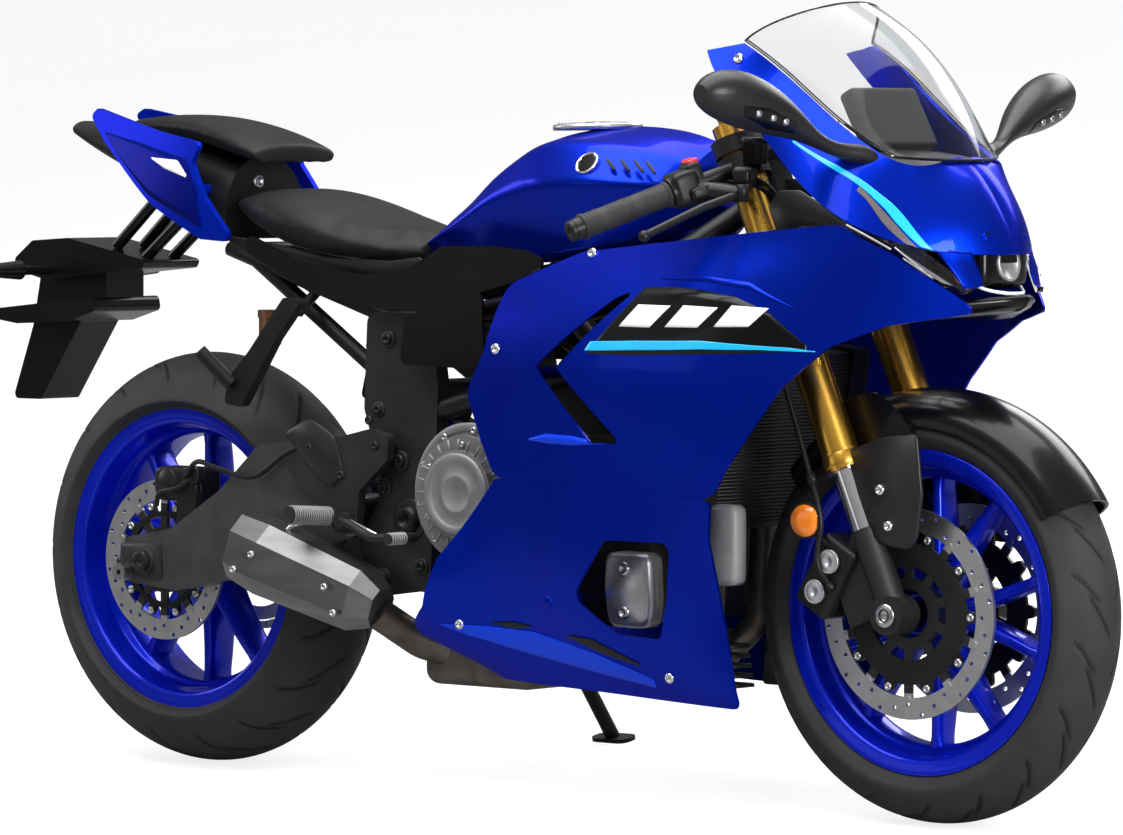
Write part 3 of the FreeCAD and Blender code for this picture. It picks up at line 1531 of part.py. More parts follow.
def stance():
    """The placement that leans the upright motorcycle onto its stand."""
    pitch = math.atan2(ground_drop(0) - ground_drop(wheelbase), wheelbase)
    turn = FreeCAD.Rotation(Vector(0, 1, 0), math.degrees(pitch)).multiply(
        FreeCAD.Rotation(Vector(1, 0, 0), -lean_angle))
    return FreeCAD.Placement(Vector(0, 0, ground_drop(0)), turn)


def build():
    """Every piece by the name of its node, still upright."""
    return {
        "front_tyre": tyre(front_axle, front_tyre_radius, front_tyre_crown, front_rim_half_width),
        "front_rim": rim(front_axle, front_rim_half_width, front_hub_half_width, front_axle_radius),
        "front_discs": front_discs(),
        "rear_tyre": tyre(rear_axle, rear_tyre_radius, rear_tyre_crown, rear_rim_half_width),
        "rear_rim": rim(rear_axle, rear_rim_half_width, rear_hub_half_width, rear_axle_radius),
        "rear_disc": rear_disc(),
        "rear_sprocket": rear_sprocket(),
        "chain": chain(),
        "fork_tubes": fork_tubes(),
        "fork_legs": fork_legs(),
        "triple_clamps": triple_clamps(),
        "front_fender": front_fender(),
        "front_calipers": front_calipers(),
        "handlebars": handlebars(),
        "main_frame": main_frame(),
        "frame_plates": frame_plates(),
        "side_stand": side_stand(),
        "swingarm": swingarm(),
        "stand_bosses": stand_bosses(),
        "shock": shock(),
        "engine_block": engine_block(),
        "engine_covers": engine_covers(),
        "radiator": radiator(),
        "exhaust_headers": exhaust_headers(),
        "muffler": muffler(),
        "fuel_tank": fuel_tank(),
        "rider_seat": rider_seat(),
        "pillion_seat": pillion_seat(),
        "tail_cowls": tail_cowls(),
        "undertail": undertail(),
        "subframe": subframe(),
        "side_covers": side_covers(),
        "plate_holder": plate_holder(),
        "pillion_hangers": pillion_hangers(),
        "brake_reservoir": brake_reservoir(),
        "footrests": footrests(),
        "foot_levers": foot_levers(),
        "rear_caliper": rear_caliper(),
        "side_fairings": side_fairings(),
        "belly_pans": belly_pans(),
        "nose_cowl": nose_cowl(),
        "windscreen": windscreen(),
        "instrument_panel": instrument_panel(),
        "front_stay": front_stay(),
        "headlight": headlight(),
        "position_lamps": position_lamps(),
        "mirrors": mirrors(),
    }


nodes = build()
leaned = stance()
for shape in nodes.values():
    shape.Placement = leaned.multiply(shape.Placement)
reach = [nodes[name].optimalBoundingBox(True, False) for name in ("plate_holder", "front_tyre",
    "mirrors")]
centre = Vector(-(reach[0].XMin + reach[1].XMax) / 2, -(reach[2].YMin + reach[2].YMax) / 2, 0)
for name, shape in nodes.items():
    shape.translate(centre)
    shape.exportStep("parts/" + name + ".step")
    print(name, shape.isValid(), len(shape.Solids), round(shape.Volume / 1000))
print("origin moved by", centre)
print("lean turn", leaned)
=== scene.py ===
import json
import math

import bmesh
import bpy
import numpy as np
from mathutils import Matrix, Vector


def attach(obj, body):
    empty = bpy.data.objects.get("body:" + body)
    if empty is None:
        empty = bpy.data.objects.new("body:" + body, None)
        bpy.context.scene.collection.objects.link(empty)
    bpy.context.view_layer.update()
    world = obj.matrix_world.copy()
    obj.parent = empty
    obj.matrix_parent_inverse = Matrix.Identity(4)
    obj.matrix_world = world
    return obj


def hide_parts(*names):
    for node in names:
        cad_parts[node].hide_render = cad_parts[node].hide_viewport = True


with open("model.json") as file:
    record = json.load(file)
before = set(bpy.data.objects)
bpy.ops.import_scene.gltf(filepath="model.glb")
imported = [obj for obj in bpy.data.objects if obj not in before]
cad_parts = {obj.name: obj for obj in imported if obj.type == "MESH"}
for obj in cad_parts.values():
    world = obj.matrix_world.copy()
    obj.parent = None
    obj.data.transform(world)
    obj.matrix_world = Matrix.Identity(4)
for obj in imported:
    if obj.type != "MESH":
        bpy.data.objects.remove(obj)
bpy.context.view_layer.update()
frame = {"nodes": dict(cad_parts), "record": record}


def unit(vectors):
    """The same directions, each one long."""
    return vectors / np.linalg.norm(vectors, axis=-1, keepdims=True)


# The parked stance
# Every piece is described on the upright bike, in millimetres: x forward from the rear axle, y to its left
# and z up from the road. The bike then leans to its left onto the side stand, as its two axles show.

joints = {joint["name"]: joint for joint in frame["record"]["behaviour"]["joints"]}
rear_axle = (0, 0, 315)
front_axle = (1395, 0, 300)
rear_spot = np.array(joints["rear_wheel_spin"]["pos_m"])
front_spot = np.array(joints["front_wheel_spin"]["pos_m"])
leftward = np.array(joints["rear_wheel_spin"]["axis"])
slope = math.atan2(front_axle[2] - rear_axle[2], front_axle[0])
wheel_line = unit(front_spot - rear_spot)
wheel_normal = np.cross(wheel_line, leftward)
forward = math.cos(slope) * wheel_line - math.sin(slope) * wheel_normal
upward = math.sin(slope) * wheel_line + math.cos(slope) * wheel_normal
lean = np.column_stack([forward, leftward, upward])


def place(points):
    """Upright points in millimetres, moved from the rear axle into the leaning frame in metres."""
    return (np.asarray(points, float) - rear_axle) / 1000 @ lean.T + rear_spot


def piece(name, points, faces, material, body, slot="", replaced=(), smooth=True):
    """A piece from upright points and faces of point numbers, with its faces turned outward."""
    mesh = bpy.data.meshes.new(name)
    mesh.from_pydata(place(points).tolist(), [], [list(map(int, face)) for face in faces])
    mesh.validate()
    work = bmesh.new()
    work.from_mesh(mesh)
    bmesh.ops.recalc_face_normals(work, faces=work.faces)
    work.to_mesh(mesh)
    work.free()
    mesh.polygons.foreach_set("use_smooth", [smooth] * len(mesh.polygons))
    made = bpy.data.objects.new(name, mesh)
    bpy.context.scene.collection.objects.link(made)
    mesh.materials.append(material)
    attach(made, body)
    if replaced:
        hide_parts(*replaced)
    return made


def grid_faces(rows, columns, wrap_rows=False, wrap_columns=False):
    """Four-sided faces between neighbouring points of a grid that is counted row by row."""
    down = np.arange(rows if wrap_rows else rows - 1)
    over = np.arange(columns if wrap_columns else columns - 1)
    row, column = np.meshgrid(down, over, indexing="ij")
    next_row, next_column = (row + 1) % rows, (column + 1) % columns
    corners = [row * columns + column, row * columns + next_column,
               next_row * columns + next_column, next_row * columns + column]
    return np.stack([corner.ravel() for corner in corners], -1)


def tube_faces(rows, columns):
    """The faces round a tube of rows with so many points each, and the two that close its ends."""
    ends = [list(range(columns)), list(range((rows - 1) * columns, rows * columns))]
    return grid_faces(rows, columns, False, True).tolist() + ends


def turned(profile, centre, count):
    """A closed profile of (sideways, radius) points, turned about the axle line through centre."""
    profile = np.asarray(profile, float)
    angles = np.linspace(0, 2 * math.pi, count, endpoint=False)[:, None]
    ring = np.stack([np.cos(angles) * profile[:, 1], profile[:, 0] + 0 * angles,
                     np.sin(angles) * profile[:, 1]], -1)
    return ring.reshape(-1, 3) + centre, grid_faces(count, len(profile), True, True)


def smooth_line(points, count, closed=False):
    """A line of count points through the given ones, in cubic stretches that run smoothly into each other."""
    points = np.asarray(points, float)
    if closed:
        padded = np.concatenate([points[-1:], points, points[:2]])
    else:
        padded = np.concatenate([2 * points[:1] - points[1:2], points, 2 * points[-1:] - points[-2:-1]])
    stretches = len(padded) - 3
    along = np.linspace(0, stretches, count, endpoint=not closed)
    number = np.minimum(along.astype(int), stretches - 1)
    t = (along - number)[:, None]
    before, start, end, after = (padded[number + step] for step in range(4))
    return 0.5 * (2 * start + (end - before) * t + (2 * before - 5 * start + 4 * end - after) * t ** 2
                  + (3 * start - before - 3 * end + after) * t ** 3)


# The camera and the studio
# A long lens looks at the bike's front right quarter, level with the tank's knee cut-out and square to the
# leaning bike. The studio is a plain white room with wide soft lamps overhead and at the sides.

photo_width, focal_length = 1123, 6799.76
camera_aim, camera_distance = np.array([696.55, 0, 550.69]), 10025.69
azimuth, elevation, roll = math.radians(40.019), math.radians(2.578), math.radians(0.223)
view_back = np.array([math.cos(elevation) * math.sin(azimuth), -math.cos(elevation) * math.cos(azimuth),
                      math.sin(elevation)])
view_right = unit(np.cross((0, 0, 1), view_back))
view_up = np.cross(view_back, view_right)
rolled_right = math.cos(roll) * view_right + math.sin(roll) * view_up
rolled_up = math.cos(roll) * view_up - math.sin(roll) * view_right
camera = bpy.data.objects.new("camera", bpy.data.cameras.new("camera"))
camera.data.sensor_width = 36
camera.data.lens = focal_length / photo_width * camera.data.sensor_width
camera.data.clip_end = 100
camera_spot = place(camera_aim + view_back * camera_distance)
camera_turn = lean @ np.column_stack([rolled_right, rolled_up, view_back])
camera.matrix_world = Matrix.Translation(camera_spot) @ Matrix(camera_turn.tolist()).to_4x4()
bpy.context.scene.collection.objects.link(camera)
bpy.context.scene.camera = camera
bpy.context.scene.view_settings.view_transform = "Standard"


def add(tree, kind, values=None, **links):
    """A node of a material, with its inputs set by name and its own settings given as attributes."""
    made = tree.nodes.new("ShaderNode" + kind)
    for key, value in (values or {}).items():
        if isinstance(key, int) or key in made.inputs:
            made.inputs[key].default_value = value
        else:
            setattr(made, key, value)
    for key, value in links.items():
        numbered = key[0] == "i" and key[1:].isdigit()
        tree.links.new(value, made.inputs[int(key[1:]) if numbered else key])
    return made


def studio_lamp(name, spot, aim, width, height, power):
    """A soft rectangular lamp at a spot in metres, turned to its aim."""
    lamp = bpy.data.lights.new(name, "AREA")
    lamp.shape = "RECTANGLE"
    lamp.size, lamp.size_y, lamp.energy = width, height, power
    made = bpy.data.objects.new(name, lamp)
    made.location = spot
    made.rotation_euler = (Vector(aim) - Vector(spot)).to_track_quat("-Z", "Y").to_euler()
    bpy.context.scene.collection.objects.link(made)


studio_lamp("overhead", (0.1, 0.0, 3.6), (0, 0, 0.5), 5.4, 3.2, 270)
studio_lamp("right_side", (-1.6, -3.8, 1.6), (0, 0, 0.6), 1.6, 1.2, 4)
studio_lamp("front", (4.2, -1.4, 1.6), (0.3, 0, 0.6), 1.2, 1.8, 150)
studio_lamp("left_side", (0.3, 3.8, 2.2), (0, 0, 0.6), 3.0, 1.4, 80)
studio_lamp("rear", (-4.0, -0.8, 1.8), (-0.3, 0, 0.6), 1.4, 1.6, 25)

world = bpy.data.worlds.new("studio")
bpy.context.scene.world = world
world.use_nodes = True
room = world.node_tree
room.nodes.clear()
height_in_room = add(room, "SeparateXYZ", Vector=add(room, "TexCoord").outputs["Generated"])
walls = add(room, "ValToRGB", Fac=add(room, "MapRange", {"From Min": -0.2, "From Max": 1.0},
                                      Value=height_in_room.outputs["Z"]).outputs[0])
walls.color_ramp.elements[0].color = (0.07, 0.07, 0.075, 1)
walls.color_ramp.elements[1].color = (1.0, 1.0, 1.0, 1)
seen = add(room, "LightPath")
lit_room = add(room, "Background", {"Strength": 0.55}, Color=walls.outputs["Color"])
white_room = add(room, "Background", {"Color": (1, 1, 1, 1), "Strength": 1.02})
straight = add(room, "Math", {"operation": "MAXIMUM"}, i0=seen.outputs["Is Camera Ray"],
               i1=seen.outputs["Is Transmission Ray"])
mixed_room = add(room, "MixShader", Fac=straight.outputs[0], i1=lit_room.outputs[0], i2=white_room.outputs[0])
add(room, "OutputWorld", Surface=mixed_room.outputs[0])


def finish(name, dark, light, rough=(0.3, 0.4), metal=0.0, cloud=80, grain=3, depth=0.0, stretch=(1, 1, 1),
           **own):
    """A finish whose colour drifts in clouds, with a grain that turns its gloss and skin; all sizes in mm."""
    made = bpy.data.materials.new(name)
    made.use_nodes = True
    tree = made.node_tree
    shader = tree.nodes["Principled BSDF"]
    shader.inputs["Metallic"].default_value = metal
    for key, value in own.items():
        shader.inputs[key.replace("_", " ")].default_value = value
    spot = Vector((0, 0, rear_axle[2])) - Matrix(lean.T.tolist()) @ Vector(rear_spot * 1000)
    upright = add(tree, "Mapping", {"Location": spot, "Rotation": Matrix(lean.T.tolist()).to_euler(),
                                    "Scale": (1000, 1000, 1000)},
                  Vector=add(tree, "TexCoord").outputs["Object"])
    upright.label = "upright"
    drawn = add(tree, "VectorMath", {"operation": "MULTIPLY", 1: stretch}, i0=upright.outputs[0])
    clouds = add(tree, "TexNoise", {"Scale": 1 / cloud, "Detail": 4.0}, Vector=drawn.outputs[0])
    even = add(tree, "MapRange", {"From Min": 0.3, "From Max": 0.7}, Value=clouds.outputs[0])
    tint = add(tree, "Mix", {"data_type": "RGBA", 6: (*dark, 1), 7: (*light, 1)}, Factor=even.outputs[0])
    tree.links.new(tint.outputs[2], shader.inputs["Base Color"])
    fine = add(tree, "TexNoise", {"Scale": 1 / grain, "Detail": 3.0}, Vector=drawn.outputs[0])
    gloss = add(tree, "MapRange", {"To Min": rough[0], "To Max": rough[1]}, Value=fine.outputs[0])
    tree.links.new(gloss.outputs[0], shader.inputs["Roughness"])
    if depth:
        bump = add(tree, "Bump", {"Strength": 0.8, "Distance": depth / 1000}, Height=fine.outputs[0])
        tree.links.new(bump.outputs[0], shader.inputs["Normal"])
    return made


reach = 40.0
floor_mesh = bpy.data.meshes.new("floor")
floor_mesh.from_pydata([(-reach, -reach, 0), (reach, -reach, 0), (reach, reach, 0), (-reach, reach, 0)], [],
                       [(0, 1, 2, 3)])
pale_floor = finish("studio_floor", (0.27, 0.27, 0.27), (0.29, 0.29, 0.29), (0.7, 0.8), cloud=900)
glow = pale_floor.node_tree
rays = add(glow, "LightPath")
seen_floor = add(glow, "Math", {"operation": "MAXIMUM"}, i0=rays.outputs["Is Camera Ray"],
                 i1=rays.outputs["Is Transmission Ray"])
lit_floor = add(glow, "Emission", {"Color": (1, 1, 1, 1)}, Strength=add(
    glow, "Math", {"operation": "MULTIPLY", 1: 0.8}, i0=seen_floor.outputs[0]).outputs[0])
floor_shader = add(glow, "AddShader", i0=glow.nodes["Principled BSDF"].outputs[0], i1=lit_floor.outputs[0])
glow.links.new(floor_shader.outputs[0], glow.nodes["Material Output"].inputs["Surface"])
floor_mesh.materials.append(pale_floor)
floor = bpy.data.objects.new("floor", floor_mesh)
bpy.context.scene.collection.objects.link(floor)

# The finishes
# Deep blue gloss paint under clear lacquer, moulded black plastics, cast and machined aluminium, gold
# anodising and drawn steel, each with the grain and unevenness of the real thing.

blue_paint = finish("blue_lacquer", (0.0003, 0.014, 0.36), (0.0005, 0.02, 0.44), (0.27, 0.33), 0.78, 300,
                    Coat_Weight=0.12, Coat_Roughness=0.03, Specular_Tint=(0.02, 0.15, 1, 1))
# Painted highlight: a lighter copy of the blue lacquer for faces that catch more light.
painted_highlight_blue = finish("blue_lacquer_painted_highlight", (0.002, 0.05, 0.8), (0.003, 0.06, 0.9), (0.3, 0.36), 0.4, 300,
                    Coat_Weight=0.2, Coat_Roughness=0.05, Specular_Tint=(0.1, 0.3, 1, 1))
# Painted shade: a darker, duller copy of the blue lacquer for the tail's shaded lower side.
painted_shade_blue = finish("blue_lacquer_painted_shade", (0.001, 0.006, 0.16), (0.001, 0.009, 0.2), (0.3, 0.36), 0.5, 300,
                   Specular_IOR_Level=0.08, Specular_Tint=(0.02, 0.15, 1, 1))
tail_blue = finish("blue_tail_lacquer", (0.001, 0.016, 0.4), (0.002, 0.022, 0.48), (0.34, 0.4), 0.6, 300,
                   Specular_IOR_Level=0.12, Specular_Tint=(0.02, 0.15, 1, 1))
blue_cast = finish("blue_wheel_paint", (0.002, 0.011, 0.46), (0.003, 0.016, 0.56), (0.24, 0.32), 0.45, 120,
                   1.5, 0.02, Coat_Weight=0.35, Coat_Roughness=0.08, Specular_Tint=(0.02, 0.15, 1, 1))
black_gloss = finish("black_lacquer", (0.002, 0.002, 0.0025), (0.004, 0.004, 0.005), (0.2, 0.28), 0, 200,
                     Coat_Weight=0.12, Coat_Roughness=0.05, Specular_IOR_Level=0.2)
black_plastic = finish("moulded_black", (0.007, 0.007, 0.0075), (0.01, 0.01, 0.0105), (0.32, 0.44), 0, 60, 1.1,
                       0.04, Specular_IOR_Level=0.22)
dark_plastic = finish("moulded_dark_grey", (0.01, 0.01, 0.0105), (0.015, 0.015, 0.0155), (0.3, 0.42), 0, 60,
                      1.1, 0.04, Specular_IOR_Level=0.3)
black_metal = finish("black_coated_metal", (0.008, 0.008, 0.0085), (0.015, 0.015, 0.016), (0.3, 0.42), 0.15,
                     50, 1.6, 0.04, Specular_IOR_Level=0.25)
grey_cast = finish("grey_casting", (0.19, 0.19, 0.195), (0.26, 0.26, 0.265), (0.42, 0.6), 0.6, 40, 1.3, 0.12)
dark_cast = finish("dark_casting", (0.018, 0.018, 0.019), (0.03, 0.03, 0.031), (0.38, 0.5), 0.35, 40, 1.3,
                   0.08, Specular_IOR_Level=0.3)
gold_anodised = finish("gold_anodising", (0.78, 0.42, 0.06), (0.88, 0.5, 0.09), (0.2, 0.3), 1, 70, 0.8, 0.01,
                       (1, 6, 1))
bare_steel = finish("machined_steel", (0.42, 0.42, 0.43), (0.55, 0.55, 0.56), (0.22, 0.34), 1, 30, 0.8, 0.02)
chrome = finish("hard_chrome", (0.75, 0.75, 0.76), (0.82, 0.82, 0.83), (0.05, 0.09), 1, 60)
exhaust_steel = finish("brushed_exhaust_steel", (0.17, 0.167, 0.163), (0.25, 0.245, 0.24), (0.32, 0.44), 1,
                       25, 1.2, 0.05, (0.15, 1, 1))
header_steel = finish("heat_dark_steel", (0.1, 0.09, 0.08), (0.18, 0.16, 0.14), (0.35, 0.55), 1, 30, 2, 0.05)
spring_blue = finish("spring_coating", (0.005, 0.03, 0.35), (0.008, 0.04, 0.45), (0.25, 0.35), 0.1, 40, 1, 0.02,
                     Coat_Weight=0.6)
rubber = finish("tyre_rubber", (0.022, 0.022, 0.022), (0.03, 0.03, 0.0305), (0.62, 0.78), 0, 45, 0.8, 0.06,
                Specular_IOR_Level=0.3)
grip_rubber = finish("grip_rubber", (0.01, 0.01, 0.01), (0.016, 0.016, 0.016), (0.6, 0.75), 0, 30, 0.8, 0.08)
vinyl = finish("seat_vinyl", (0.007, 0.007, 0.0073), (0.012, 0.012, 0.0125), (0.42, 0.55), 0, 70, 0.9, 0.12,
               Specular_IOR_Level=0.14)
smoked = finish("smoked_cup", (0.1, 0.035, 0.012), (0.16, 0.06, 0.02), (0.1, 0.16), 0, 30,
                Transmission_Weight=0.5, Coat_Weight=0.6)
clear = finish("clear_screen", (0.79, 0.8, 0.81), (0.81, 0.82, 0.83), (0.02, 0.04), 0, 200,
               Transmission_Weight=1.0, IOR=1.2)
lens = finish("clear_lens", (0.9, 0.92, 0.94), (0.95, 0.96, 0.97), (0.02, 0.05), 0, 90,
              Transmission_Weight=1.0, IOR=1.3)
amber_lens = finish("amber_lens", (0.75, 0.16, 0.005), (0.85, 0.24, 0.01), (0.1, 0.2), 0, 12, Coat_Weight=0.8)
tank_plastic = finish("milky_tank", (0.2, 0.2, 0.205), (0.26, 0.26, 0.265), (0.4, 0.5), 0, 30, 0.8, 0.03)
disc_steel = finish("brake_disc_steel", (0.5, 0.5, 0.505), (0.6, 0.6, 0.605), (0.3, 0.42), 1, 20, 0.7, 0.03)
cyan_film = finish("cyan_film", (0.0, 0.42, 0.86), (0.0, 0.47, 0.92), (0.3, 0.36), 0, 90, Coat_Weight=0.5)
white_film = finish("white_film", (0.84, 0.84, 0.85), (0.9, 0.9, 0.91), (0.3, 0.36), 0, 90, Coat_Weight=0.5)
taupe_film = finish("taupe_film", (0.1, 0.085, 0.09), (0.13, 0.11, 0.115), (0.3, 0.4), 0.3, 60, Coat_Weight=0.5)
red_plastic = finish("red_switch", (0.6, 0.008, 0.008), (0.7, 0.015, 0.012), (0.3, 0.4), 0, 20, 0.8, 0.02)
silver_paint = finish("silver_lacquer", (0.46, 0.46, 0.47), (0.56, 0.56, 0.57), (0.3, 0.4), 0.8, 40, 0.8, 0.02)
# Painted shade: a dull near-black, darker than the parts' own black, for the back of the clocks behind the
# screen and the tank's cooling slots.
shadow_black = finish("shadow_black", (0.001, 0.001, 0.001), (0.002, 0.002, 0.002), (0.6, 0.7), 0, 60, 1, 0.03)
white_glow = finish("white_light_guide", (0.85, 0.87, 0.9), (0.92, 0.94, 0.96), (0.2, 0.3), 0, 30,
                    Coat_Weight=0.8)


def changes_along(first, second, spot, direction, distance, around=False):
    """The first finish beyond a distance from a spot, along a direction or around it, and else the second."""
    made = first.copy()
    tree = made.node_tree
    shader = tree.nodes["Principled BSDF"]
    upright = next(node for node in tree.nodes if node.label == "upright")
    from_spot = add(tree, "VectorMath", {"operation": "SUBTRACT", 1: spot}, i0=upright.outputs[0])
    if around:
        from_spot = add(tree, "VectorMath", {"operation": "MULTIPLY", 1: direction}, i0=from_spot.outputs[0])
    along = add(tree, "VectorMath", {"operation": "LENGTH" if around else "DOT_PRODUCT", 1: direction},
                i0=from_spot.outputs[0])
    beyond = add(tree, "Math", {"operation": "GREATER_THAN", 1: distance}, i0=along.outputs["Value"])
    other = second.node_tree.nodes["Principled BSDF"]
    colours = [node for node in second.node_tree.nodes if node.bl_idname == "ShaderNodeMix"][0]
    tint = add(tree, "Mix", {"data_type": "RGBA", 6: colours.inputs[6].default_value[:]},
               Factor=beyond.outputs[0])
    tree.links.new(shader.inputs["Base Color"].links[0].from_socket, tint.inputs[7])
    tree.links.new(tint.outputs[2], shader.inputs["Base Color"])
    for name, low in (("Roughness", 0.5), ("Metallic", other.inputs["Metallic"].default_value)):
        held = add(tree, "MapRange", {"To Min": low, "To Max": shader.inputs[name].default_value},
                   Value=beyond.outputs[0])
        if shader.inputs[name].is_linked:
            tree.links.new(shader.inputs[name].links[0].from_socket, held.inputs["To Max"])
        tree.links.new(held.outputs[0], shader.inputs[name])
    return made


# Finishes that change within one node: the fork's feet, the discs' carriers and the painted shade in the
# tread's grooves
rake = math.radians(23.67)
fork_up = np.array([-math.sin(rake), 0, math.cos(rake)])
fork_ahead = np.array([math.cos(rake), 0, math.sin(rake)])
fork_leg = changes_along(chrome, black_metal, front_axle, fork_up, 128)
tread_rubber = rubber.copy()
tread_rubber.name = "tread_rubber"
tree = tread_rubber.node_tree
shader = tree.nodes["Principled BSDF"]
# Painted shade: the tread turns near-black inside its grooves, by the groove depth kept on the tyre's mesh.
painted_groove_shade = add(tree, "Attribute", {"attribute_name": "groove"})
shade = add(tree, "Mix", {"data_type": "RGBA", 7: (0.001, 0.001, 0.001, 1)}, Factor=painted_groove_shade.outputs["Fac"])
tree.links.new(shader.inputs["Base Color"].links[0].from_socket, shade.inputs[6])
tree.links.new(shade.outputs[2], shader.inputs["Base Color"])
arm_cast = finish("arm_casting", (0.05, 0.05, 0.051), (0.075, 0.075, 0.076), (0.34, 0.46), 0.5, 40, 1.3, 0.06)
front_disc = changes_along(disc_steel, black_metal, front_axle, (1, 0, 1), 112, True)
rear_disc = changes_along(disc_steel, black_metal, rear_axle, (1, 0, 1), 86, True)
front_disc.name, rear_disc.name = "front_disc_on_black_carrier", "rear_disc_on_black_carrier"
fork_leg.name = "chromed_leg_black_foot"

node_finishes = {
    "main_frame": black_metal, "frame_plates": dark_cast, "swingarm": arm_cast, "stand_bosses": bare_steel,
    "shock": spring_blue, "engine_block": dark_cast, "engine_covers": grey_cast, "radiator": black_metal,
    "exhaust_headers": header_steel, "muffler": exhaust_steel, "chain": bare_steel, "fuel_tank": blue_paint,
    "rider_seat": vinyl, "pillion_seat": vinyl, "tail_cowls": tail_blue, "undertail": black_plastic,
    "subframe": black_metal, "side_covers": black_gloss, "plate_holder": black_gloss,
    "pillion_hangers": black_metal, "brake_reservoir": smoked, "footrests": dark_cast,
    "foot_levers": dark_cast, "rear_caliper": black_metal, "side_fairings": blue_paint,
    "belly_pans": blue_paint, "nose_cowl": blue_paint, "windscreen": clear, "instrument_panel": shadow_black,
    "front_stay": black_metal, "headlight": lens, "position_lamps": lens, "mirrors": dark_plastic,
    "triple_clamps": black_metal, "fork_tubes": gold_anodised, "fork_legs": fork_leg,
    "front_fender": black_gloss, "front_calipers": black_metal, "handlebars": black_metal,
    "front_discs": front_disc, "rear_disc": rear_disc, "rear_sprocket": bare_steel, "front_rim": blue_cast,
    "rear_rim": blue_cast, "side_stand": black_metal, "front_tyre": rubber, "rear_tyre": rubber}
for node, made in node_finishes.items():
    for held in frame["nodes"][node].material_slots:
        held.material = made

# The tyres
# Radial rubber on 17 inch rims, 120/70 in front and 180/55 at the rear, vulcanised in a mould that leaves
# slanted water grooves on the crown.


def tyre(name, body, node, centre, radius, half_width, rim_half, drop, grooves, direction):
    """A tyre section of crown, bulging wall and bead, turned, with slanted grooves pressed into the crown."""
    bead, groove_depth, groove_edge = 230, 3.2, 1.6
    low_wall = bead + (radius - drop - bead) * 0.45
    outer = smooth_line([
        (-rim_half + 3, bead + 0.5), (-half_width + 3, low_wall), (-half_width, radius - drop),
        (-half_width * 0.72, radius - drop * 0.42), (-half_width * 0.36, radius - drop * 0.105), (0, radius),
        (half_width * 0.36, radius - drop * 0.105), (half_width * 0.72, radius - drop * 0.42),
        (half_width, radius - drop), (half_width - 3, low_wall), (rim_half - 3, bead + 0.5)], 72)
    inner = smooth_line([(rim_half - 8, bead - 4), (half_width - 14, radius - drop - 8), (0, radius - 14),
                         (-half_width + 14, radius - drop - 8), (-rim_half + 8, bead - 4)], 16)
    section = np.concatenate([outer, inner])
    count = 720
    points, faces = turned(section, (0, 0, 0), count)
    points = points.reshape(count, len(section), 3)
    angle = np.arange(count)[:, None] / count * 2 * math.pi
    side = section[None, :, 0]
    reach = np.abs(side) / half_width
    pitch = 2 * math.pi / grooves
    groove = np.zeros((count, len(section)))
    for sign in (-1, 1):
        for start, end, slant, offset, wide in ((0.08, 0.62, 0.42, 0.0, 3.2), (0.34, 0.86, 0.32, 0.5, 2.8)):
            middle = direction * slant * (reach - start) + (offset + sign * 0.25) * pitch
            away = np.abs((angle - middle + pitch / 2) % pitch - pitch / 2) * radius
            here = (np.sign(side) == sign) & (reach > start) & (reach < end)
            ends = np.clip(np.minimum(reach - start, end - reach) * 14, 0, 1)
            depth = np.clip((wide + groove_edge - away) / groove_edge, 0, 1) * ends
            groove = np.maximum(groove, np.where(here, depth, 0))
    groove[:, len(outer):] = 0
    length = np.linalg.norm(points[..., [0, 2]], axis=-1, keepdims=True)
    points[..., [0, 2]] *= 1 - groove_depth * groove[..., None] / length
    made = piece(name, points.reshape(-1, 3) + centre, faces, tread_rubber, body, "rubber", (node,))
    # The groove depth is kept on the mesh too: the tread's finish paints shade into the grooves with it.
    made.data.attributes.new("groove", "FLOAT", "POINT").data.foreach_set("value", groove.ravel())


tyre("front_tyre_tread", "front_wheel", "front_tyre", front_axle, 300, 60, 52, 46, 18, 1)
tyre("rear_tyre_tread", "rear_wheel", "rear_tyre", rear_axle, 315, 89, 77, 68, 18, -1)

# The wheels
# Cast aluminium wheels in blue paint: a drop-centre rim with a rolled lip, five forked pairs of tapered
# spokes with rounded backs, and a stepped hub.


def built(name, parts, material, body, slot="", replaced=(), smooth=True):
    """One piece from several lots of points and faces."""
    points, faces, start = [], [], 0
    for part_points, part_faces in parts:
        points.append(np.asarray(part_points, float))
        faces += [[int(corner) + start for corner in face] for face in part_faces]
        start += len(part_points)
    return piece(name, np.concatenate(points), faces, material, body, slot, replaced, smooth)


